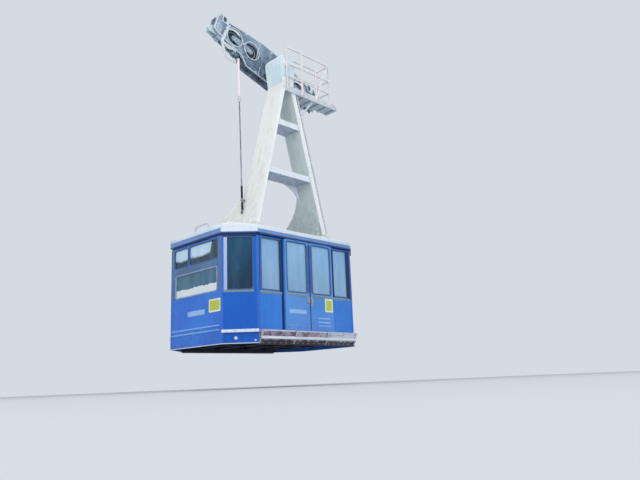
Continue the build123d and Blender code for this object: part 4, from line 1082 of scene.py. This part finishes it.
def onPlate(outline, profile, side):
    # a profile carried round an outline on a side plate
    path = np.insert(np.asarray(outline, float), 1, side * running["plateFace"], 1)
    return carried(fromRope(path), np.array(profile) * (1, side), (0, 1, 0), closePath=True)


edgeOutline = np.concatenate([running["edge"], np.array(running["edge"])[::-1] * (-1, 1)])
stripShapes, ringShapes, boltShapes = [], [], []
plateRest = running["plateFace"] - sunk
for side in (1, -1):
    width, rise = running["strip"]
    stripShapes.append(onPlate(edgeOutline, [(0.0, -sunk), (0.0, rise), (width, rise), (width, -sunk)], side))
    width, rise = running["ring"]
    for s in running["wheels"].values():
        ringShapes.append(onPlate(circle(running["opening"], 40) + (s, running["wheelLine"]), [
            (0.002, -0.026), (0.002, rise), (-width, rise), (-width, -0.0005), (0, -0.0005), (0, -0.026)], side))
    for end in (-1, 1):
        for s, low, high in running["ribs"]:
            rib = plate(running["ribWidth"], high - low, 0.004, running["ribRise"])
            stripShapes.append(onRope(rib, end * s, (low + high) / 2, plateRest, side))
        boltShapes += [onRope(hexBolt(size), end * s, n, plateRest, side)
                       for size, spots in running["bolts"] for s, n in spots if s or end > 0]
        boltShapes.append(onRope(turned(running["pivotCap"], 18), end * running["rockers"]["rocker_front"],
                                 running["wheelLine"], running["bossFace"] - 0.0005, side))
boltShapes += [onRope(boltRing(*running["pinBolts"]), 0, running["pinDrop"], running["bossFace"], -1),
               onRope(turned(running["pinCap"], 24), 0, running["pinDrop"], running["bossFace"] + 0.015, -1)]
addPiece("carriageEdgeStrips", "carriage", "ringPale", stripShapes, 30)
addPiece("wheelOpeningRings", "carriage", "ringPale", ringShapes, 40)
addPiece("carriageBolts", "carriage", "zincGrey", boltShapes, 30)


def coil(foot, head, radius, wire, turns, steps=18):
    # a wire carried up a helix: (r cos t, r sin t, foot + t rise), with both end turns closed up flat
    t = np.linspace(0, turns, turns * steps + 1)
    rise = np.clip((t - 0.75) / (turns - 1.5), 0, 1)
    angle = 2 * math.pi * t
    path = np.column_stack([radius * np.cos(angle), radius * np.sin(angle), foot + (head - foot) * rise])
    return carried(path, circle(wire, 6))


springShapes, springCaps = [], []
foot, head = running["springLevels"]
bore, reach = running["springCap"]
beyond, over = running["washer"]
washers = [turned([(bore, low), (reach, low), (reach, high), (bore, high), (bore, low)], 28)
           for low, high in ((foot - beyond, foot + over), (head - over, head + beyond))]
crown = boltRing(*running["crownBolts"])
for end in (-1, 1):
    onBrake = (fromRope((end * running["brakeStation"], 0, 0)), ropeAlong, ropeAbove)
    springShapes.append(placed(coil(foot + 0.02, head - 0.02, *running["spring"]), *onBrake))
    springCaps.append(placed(joined(washers + [crown]), *onBrake))
addPiece("brakeSprings", "carriage", "springDark", springShapes, 60)
addPiece("brakeSpringCaps", "carriage", "carriageGrey", springCaps, 35)

keeper = joined([plate(*running["keeper"]), boltGrid(*running["keeperBolts"])])
for body, middle in running["rockers"].items():
    # each keeper stands beside its axle, on the side towards the rocker's pivot
    spots = [s + np.sign(middle - s) * running["keeperAside"] for s in running["wheels"].values() if s * middle > 0]
    keepers = [onRope(keeper, s, running["wheelLine"], running["keeperFace"], side)
               for side in (1, -1) for s in spots]
    addPiece("axleKeepers_" + body, body, "zincGrey", keepers, 30)
wheelTrim = joined([turned(running["hub"], 28), boltRing(*running["hubBolts"]), turned(running["rim"], 40)])
for wheelName, s in running["wheels"].items():
    addPiece("hubRings_" + wheelName, wheelName, "wheelPale",
             [onRope(wheelTrim, s, running["wheelLine"], running["hubFace"], side) for side in (1, -1)], 30)
print("carriage details set")

# Platform, railing, ladder and pull rod
platform = {
    "ends": (-0.20, -1.70), "far": 0.61, "near": 1.00, "foot": 5.06, "top": 5.10,
    "bearers": (-0.26, -1.64, 6), "bearer": (0.036, 0.034, 0.006),  # width, depth and thickness of the channel
    "gratings": (0.635, 0.935, 11), "gratingRise": 0.006, "rimLevels": (5.062, 5.165), "endRimLevel": 5.080,
    "nearPosts": (0.06, -0.43, -0.92, -1.41), "farPosts": (-0.34, -0.835, -1.41), "nearLine": 1.016, "farLine": 0.626,
    "clampPlace": (1.031, 5.135), "clamp": (0.062, 0.075, 0.008, 0.006), "footPlate": (0.075, 0.075, 0.008, 0.008),
    "clampBolts": (0.006, (-0.022, 0.022), (0,), 0.005), "capWidths": (0.036, 0.036, 0.024),
    "footBolts": (0.007, (-0.026, 0.026), (-0.026, 0.026), 0.007), "capLevels": (-0.012, 0.001, 0.005),
    "rimLine": 0.9985, "rim": [(-sunk, -0.012), (-0.0055, -0.011), (-0.0055, 0.011), (-sunk, 0.012)],
    "endRim": [(-sunk, -0.018), (0.005, -0.017), (0.005, 0.017), (-sunk, 0.018)],
    "railingHeight": 6.23, "tag": (0.05, 0.15, 0.01, 0.008),
}
ladder = {"lines": (0.665, 0.905), "levels": (1.9, 3.4, 4.7), "pad": (0.055, 0.11, 0.008, 0.008),
          "padBolts": (0.009, (0,), (-0.037, 0.037), 0.007)}
rod = {
    "line": 0.44, "foot": (1.040, 1.900), "joint": (1.090, 4.700), "head": (1.110, 5.720), "fold": 0.012,
    "foldRadii": (0.021, 0.028), "bellowsBore": 0.0145,
    # foot and top level of each length of bellows
    "bellows": [(1.966, 2.172), (2.238, 2.56)],
    "nuts": [(1.04464, 1.876), (1.04464, 1.956), (1.05004, 2.176), (1.05004, 2.226)],
    "coupling": [(0.012, -0.075), (0.022, -0.075), (0.030, -0.03), (0.041, -0.028), (0.041, 0.03), (0.034, 0.034),
                 (0.034, 0.065), (0.026, 0.068)],
    "knob": [(0, -0.03), (0.034, -0.03), (0.036, -0.02), (0.036, 0.0), (0.030, 0.010), (0, 0.012)],
    "nut": [(0.012, 0), (0.026, 0), (0.026, 0.012), (0.012, 0.012), (0.012, 0)],
}


def slimBar(foot, crown, rise):
    # section of a bar that narrows upwards: half its width below and above, and its rise
    return [(foot, -sunk), (crown, rise), (-crown, rise), (-foot, -sunk)]


start, finish = platform["ends"]
width, depth, thick = platform["bearer"]
channel = [(0, 0.002), (0, -depth), (width, -depth), (width, thick - depth), (thick, thick - depth), (thick, 0.002)]
bearerShapes = [carried(fromCabin([(x, platform["far"] + 0.005, platform["foot"]),
                                   (x, platform["near"] - 0.045, platform["foot"])]), channel)
                for x in np.linspace(*platform["bearers"])]
gratingShapes = [carried(fromCabin([(finish + 0.014, y, platform["top"]), (start - 0.004, y, platform["top"])]),
                         slimBar(0.0035, 0.0025, platform["gratingRise"]))
                 for y in np.linspace(*platform["gratings"])]
rimShapes = [carried(fromCabin([(start, platform["rimLine"], level), (finish + sunk, platform["rimLine"], level)]),
                     platform["rim"]) for level in platform["rimLevels"]]
endRim = np.array(platform["endRim"])
rimShapes += [carried(fromCabin([(x, platform["far"] + 0.004, platform["endRimLevel"]),
                                 (x, platform["near"] - 0.004, platform["endRimLevel"])]), endRim * (out, 1))
              for x, out in ((start, -1), (finish, 1))]
addPiece("platformBearers", "cabin", "zincGrey", bearerShapes, 30)
addPiece("platformGrating", "cabin", "zincGrey", gratingShapes, 30)
addPiece("platformRims", "cabin", "toeWhite", rimShapes, 30)

clamp = joined([plate(*platform["clamp"]), boltGrid(*platform["clampBolts"])])
footPlate = joined([plate(*platform["footPlate"]), boltGrid(*platform["footBolts"])])
postCap = stacked([roundedOutline(width, width, 0.006) for width in platform["capWidths"]], platform["capLevels"])
clampShapes = [inCabin(clamp, (x, *platform["clampPlace"]), *outwards)
               for x in platform["nearPosts"]]
clampShapes += [inCabin(footPlate, (x, platform["farLine"] + 0.006, platform["top"] - sunk))
                for x in platform["farPosts"]]
clampShapes += [inCabin(postCap, (x, line, platform["railingHeight"]))
                for line, posts in ((platform["nearLine"], platform["nearPosts"]),
                                    (platform["farLine"], platform["farPosts"])) for x in posts]
clampShapes.append(inCabin(plate(*platform["tag"]), (finish + 0.028, platform["near"] - sunk,
                                                     platform["top"] + 0.11), *outwards))
addPiece("railingClamps", "cabin", "zincPale", clampShapes, 30)

pad = joined([plate(*ladder["pad"]), boltGrid(*ladder["padBolts"])])
addPiece("ladderFeet", "cabin", "zincGrey",
         [inCabin(pad, (0.0005 - float(legOuter(level)), y, level), (0, -1, 0), (-1, 0, hanger["taper"]))
          for level in ladder["levels"] for y in ladder["lines"]], 30)


def onRod(shape, foot, head, level, across=(0, 1, 0)):
    # set at a level of a length of the rod and along it
    share = (level - foot[1]) / (head[1] - foot[1])
    return inCabin(shape, (foot[0] + share * (head[0] - foot[0]), rod["line"], level), across,
                   (head[0] - foot[0], 0, head[1] - foot[1]))


coupling = turned(rod["coupling"], 12)
lids = [np.arange(12)[None, ::-1], np.arange(12)[None] + 12 * (len(rod["coupling"]) - 1)]
rodShapes = [onRod((coupling[0], coupling[1] + lids), rod["joint"], rod["head"], rod["joint"][1]),
             onRod(turned(rod["knob"]), rod["joint"], rod["head"], rod["head"][1])]
rodShapes += [inCabin(turned(rod["nut"], 6), (x, rod["line"], z)) for x, z in rod["nuts"]]
addPiece("rodFittings", "cabin", "zincGrey", rodShapes, 30)
bellowsShapes = []
bore = rod["bellowsBore"]
for low, high in rod["bellows"]:
    folds = int((high - low) / rod["fold"])
    profile = [(bore, 0)] + [(rod["foldRadii"][k % 2], rod["fold"] * k) for k in range(1, folds)]
    profile += [(bore, rod["fold"] * folds), (bore, 0)]
    bellowsShapes.append(onRod(turned(profile, 14), rod["foot"], rod["joint"], low))
addPiece("rodBellows", "cabin", "blackRubber", bellowsShapes, 30)
print("platform, ladder and rod details set")

# Steps: bright rubbing strip, tread bars, bracket flanges and apron rivets
steps = {
    "half": 1.418, "top": -0.810, "outer": 1.505, "barFace": 1.490, "barLevels": (-0.985, -0.935), "cover": 0.005,
    "treadLines": (1.430, 1.447, 1.464, 1.481), "treadRise": 0.004, "brackets": (-1.411, -0.48, 0.48, 1.411),
    "bracket": [(1.534, -0.812), (1.534, -0.860), (1.420, -1.078)], "flange": (0.034, 0.006), "rivet": 0.009,
    "rivetPlaces": (-1.32, 1.33, 0.16), "apron": (0.12, 0.29), "rivetShares": (0.14, 0.86),
    "nosing": [(0.004, -0.024), (0.004, 0.003), (-0.028, 0.003), (-0.028, 0.0), (0, 0), (0, -0.024)],
}
stripShapes, treadShapes, bracketShapes, apronRivets = [], [], [], []
half, top, outer = steps["half"], steps["top"], steps["outer"]
low, high = steps["barLevels"]
cover = steps["cover"]
width, thick = steps["flange"]
apronDepth, apronDrop = steps["apron"]
rivetPlaces = np.arange(*steps["rivetPlaces"])
rivets = repeated(domeRivet(steps["rivet"]), np.column_stack([rivetPlaces, np.zeros((len(rivetPlaces), 2))]))
for side in (1, -1):
    y, inner = side * steps["barFace"], side * (steps["barFace"] - 0.030)
    outline = [(inner, low - cover), (y - side * 0.006, low - cover), (y + side * cover, low + 0.006),
               (y + side * cover, high - 0.006), (y - side * 0.006, high + cover), (inner, high + cover),
               (inner, high), (y, high), (y, low), (inner, low)]
    stripShapes.append(lidded([fromCabin(np.insert(outline, 0, x, 1)) for x in (-half - 0.003, half + 0.003)]))
    for line in steps["treadLines"]:
        path = fromCabin([(0.03 - half, side * line, top), (half - 0.03, side * line, top)])
        treadShapes.append(carried(path, slimBar(0.004, 0.003, steps["treadRise"])))
    path = fromCabin([(-half, side * (outer + 0.0005), top), (half, side * (outer + 0.0005), top)])
    treadShapes.append(carried(path, np.array(steps["nosing"]) * (side, 1)))
    for x in steps["brackets"]:
        profile = np.array([(-sunk, -width / 2), (-sunk, width / 2), (thick, width / 2), (thick, -width / 2)])
        path = fromCabin([(x, side * y, z) for y, z in steps["bracket"]])
        bracketShapes.append(carried(path, profile * (side, 1), (1, 0, 0)))
    apronRivets += [inCabin(rivets, (0, side * (outer - share * apronDepth), top - share * apronDrop), (-side, 0, 0),
                            (0, side * apronDrop, -apronDepth)) for share in steps["rivetShares"]]
for name, shapes, sharpAngle in (("stepRubbingStrips", stripShapes, 30), ("stepTreads", treadShapes, 30),
                                 ("stepBracketFlanges", bracketShapes, 30), ("stepApronRivets", apronRivets, 40)):
    addPiece(name, "cabin", "strakeWhite", shapes, sharpAngle)

# Corner bumpers: bolts, and two small lamps below each
bumper = {
    "level": -0.820, "face": 0.058, "bolt": 0.012, "bolts": (-0.30, 0.30, 4), "lampLevel": -0.965, "lampAlong": -0.09,
    "lamp": [(0.034, -sunk), (0.034, 0.020), (0.030, 0.028), (0.020, 0.040), (0, 0.045)],
    "eyeLevel": -1.015, "eyeAlong": 0.30, "eye": [(0.021, -sunk), (0.021, 0.014), (0.012, 0.028), (0, 0.030)],
}
bolts = boltGrid(bumper["bolt"], np.linspace(*bumper["bolts"]), (0,), 0)
addPiece("bumperBolts", "cabin", "zincGrey",
         onCorners(bolts, 0, bumper["level"], bumper["face"] - sunk), 30)
addPiece("skirtLamps", "cabin", "strakeWhite",
         onCorners(turned(bumper["lamp"], 20), bumper["lampAlong"], bumper["lampLevel"])
         + onCorners(turned(bumper["eye"], 16), bumper["eyeAlong"], bumper["eyeLevel"]), 40)
print("step and bumper details set")

# Inside: lined ceiling with lamps, pillar trims, pole flanges, bench slats, desk top
inside = {
    "ceiling": (1.188, 1.196), "liningInset": 0.062, "hatch": 0.345, "hatchMiddle": (0.0, -0.06),
    "lamps": [(x, y) for x in (-0.75, 0.75) for y in (-0.55, 0.45)], "lamp": (0.14, 0.62, 0.03, 0.022, 0.008),
    "pillar": (0.055, 0.024), "floor": -0.80, "poles": [(x, y) for x in (-0.95, 0.95) for y in (-0.6, 0.6)],
    "poleFlange": [(0.0168, 0.0), (0.045, 0.0), (0.045, 0.006), (0.026, 0.011), (0.022, 0.022), (0.0168, 0.022),
                   (0.0168, 0.0)],
    "slats": (-1.915, -1.595, 6), "slat": (0.046, 1.39, 0.012, 0.010, 0.004), "slatLevel": -0.361,
    "desk": (0.38, 0.24, 0.02, 0.006), "deskMiddle": (1.75, -0.35, -0.13), "deskWay": (-0.12, 0, 0.27),
    "button": [(0.013, 0.005), (0.013, 0.011), (0.010, 0.016), (0, 0.017)],
    "buttons": [(-0.13, 0.06), (-0.065, 0.06), (0.0, 0.06), (0.065, 0.06), (0.13, 0.06), (-0.13, -0.01),
                (-0.065, -0.01)],
    "lever": [(0.09, -0.02, 0.004), (0.09, -0.03, 0.06), (0.09, -0.05, 0.11)], "leverRadius": 0.007,
    "knob": [(0, -0.016), (0.013, -0.012), (0.019, 0.0), (0.013, 0.013), (0, 0.018)],
    "knobPlace": (0.09, -0.052, 0.12),
}
low, high = inside["ceiling"]
outerLine = planLoop(inside["liningInset"], 8)
way = outerLine - inside["hatchMiddle"]
innerLine = inside["hatchMiddle"] + way * (inside["hatch"] / np.abs(way).max(1))[:, None]
rings = [np.column_stack([line, np.full(len(line), z)]) for line, z in
         ((outerLine, low), (innerLine, low), (innerLine, high), (outerLine, high))]
addPiece("ceilingLining", "cabin", "liningWhite",
         (fromCabin(np.concatenate(rings)), [gridFaces(4, len(outerLine), True, True)]), 30)
addPiece("ceilingLamps", "cabin", "lampCover",
         [inCabin(plate(*inside["lamp"]), (x, y, low + 0.0005), normal=(0, 0, -1)) for x, y in inside["lamps"]], 40)
width, depth = inside["pillar"]
profile = np.array([(-width, 0.0), (width, 0.0), (width * 0.7, depth), (-width * 0.7, depth)])
pillarShapes = []
for turn in turns:
    for place, inwards in (((endX - 0.046, endHalf - 0.019), (-1, -0.25)),
                           ((sideHalf - 0.021, sideY - 0.046), (-0.15, -1))):
        heading = unit(np.multiply(inwards, turn))
        points = np.multiply(place, turn) + profile[:, :1] * (-heading[1], heading[0]) + profile[:, 1:] * heading
        pillarShapes.append(inCabin(stacked([points, points], [inside["floor"] + 0.002, low - sunk]), (0, 0, 0)))
addPiece("pillarTrims", "cabin", "pillarPale", pillarShapes, 30)
poleFlange = joined([turned(inside["poleFlange"], 20), boltRing(0.005, 0.036, 4, 0.005, math.pi / 4)])
addPiece("poleFlanges", "cabin", "poleSteel",
         [inCabin(poleFlange, (x, y, z), normal=(0, 0, facing)) for x, y in inside["poles"]
          for z, facing in ((inside["floor"] - 0.0005, 1), (low + 0.0005, -1))], 30)
addPiece("benchSlats", "cabin", "benchWood",
         [inCabin(plate(*inside["slat"]), (x, 0, inside["slatLevel"])) for x in np.linspace(*inside["slats"])], 30)
deskShapes = [plate(*inside["desk"]), carried(inside["lever"], circle(inside["leverRadius"]), (1, 0, 0)),
              repeated(turned(inside["button"], 14), [(u, v, 0) for u, v in inside["buttons"]]),
              repeated(turned(inside["knob"], 14), [inside["knobPlace"]])]
addPiece("deskFittings", "cabin", "springDark",
         inCabin(joined(deskShapes), inside["deskMiddle"], (0, -1, 0), inside["deskWay"]), 30)

# Underside: cleats and pull of the floor hatch, flanges of the beams; last the door tracks
under = {
    "cleat": (0.030, 0.22, 0.008, 0.004, 0.0015), "cleats": (-0.26, 0.26, 9), "cleatLine": 0.15, "hatchTop": -0.7925,
    "hatchPull": (0.12, 0.020, 0.006), "beams": (-1.5, -1.0, -0.42, 0.42, 1.0, 1.5), "beamFoot": -0.9995,
    "flange": (0.092, 2.56, 0.004, 0.008, 0.001), "beamBolts": (-1.15, -0.55, -0.29, 0.29, 0.55, 1.15),
}
track = {"rivets": (-1.38, 1.39, 0.115), "rivetLevel": 1.184, "face": 0.060, "stop": (0.05, 0.05, 0.01, 0.014, 0.003),
         "stopPlace": (1.39, 1.178)}
cleatPlaces = [(x, side * under["cleatLine"], under["hatchTop"]) for side in (-1, 1)
               for x in np.linspace(*under["cleats"])]
addPiece("floorHatchCleats", "floor_hatch", "poleSteel",
         [repeated(plate(*under["cleat"]), fromCabin(cleatPlaces)),
          inCabin(bowHandle(*under["hatchPull"]), (0, 0, under["hatchTop"]), (0, 1, 0))], 30)
beamFlange = joined([plate(*under["flange"]), boltGrid(0.009, (-0.03, 0.03), under["beamBolts"], 0.0075)])
addPiece("beamFlanges", "cabin", "chassisDark",
         [inCabin(beamFlange, (x, 0, under["beamFoot"]), normal=(0, 0, -1)) for x in under["beams"]], 30)
trackRivets = rivetsAt(np.arange(*track["rivets"]), (track["rivetLevel"],), 0.006)
stopX, stopLevel = track["stopPlace"]
trackShapes = [onSide(trackRivets, side, 0, 0, track["face"]) for side in (1, -1)]
trackShapes += [onSide(plate(*track["stop"]), side, end * stopX, stopLevel, track["face"] - 0.0005)
                for side in (1, -1) for end in (-1, 1)]
addPiece("trackRivets", "cabin", "headBlue", trackShapes, 40)
print("inside and underside details set")
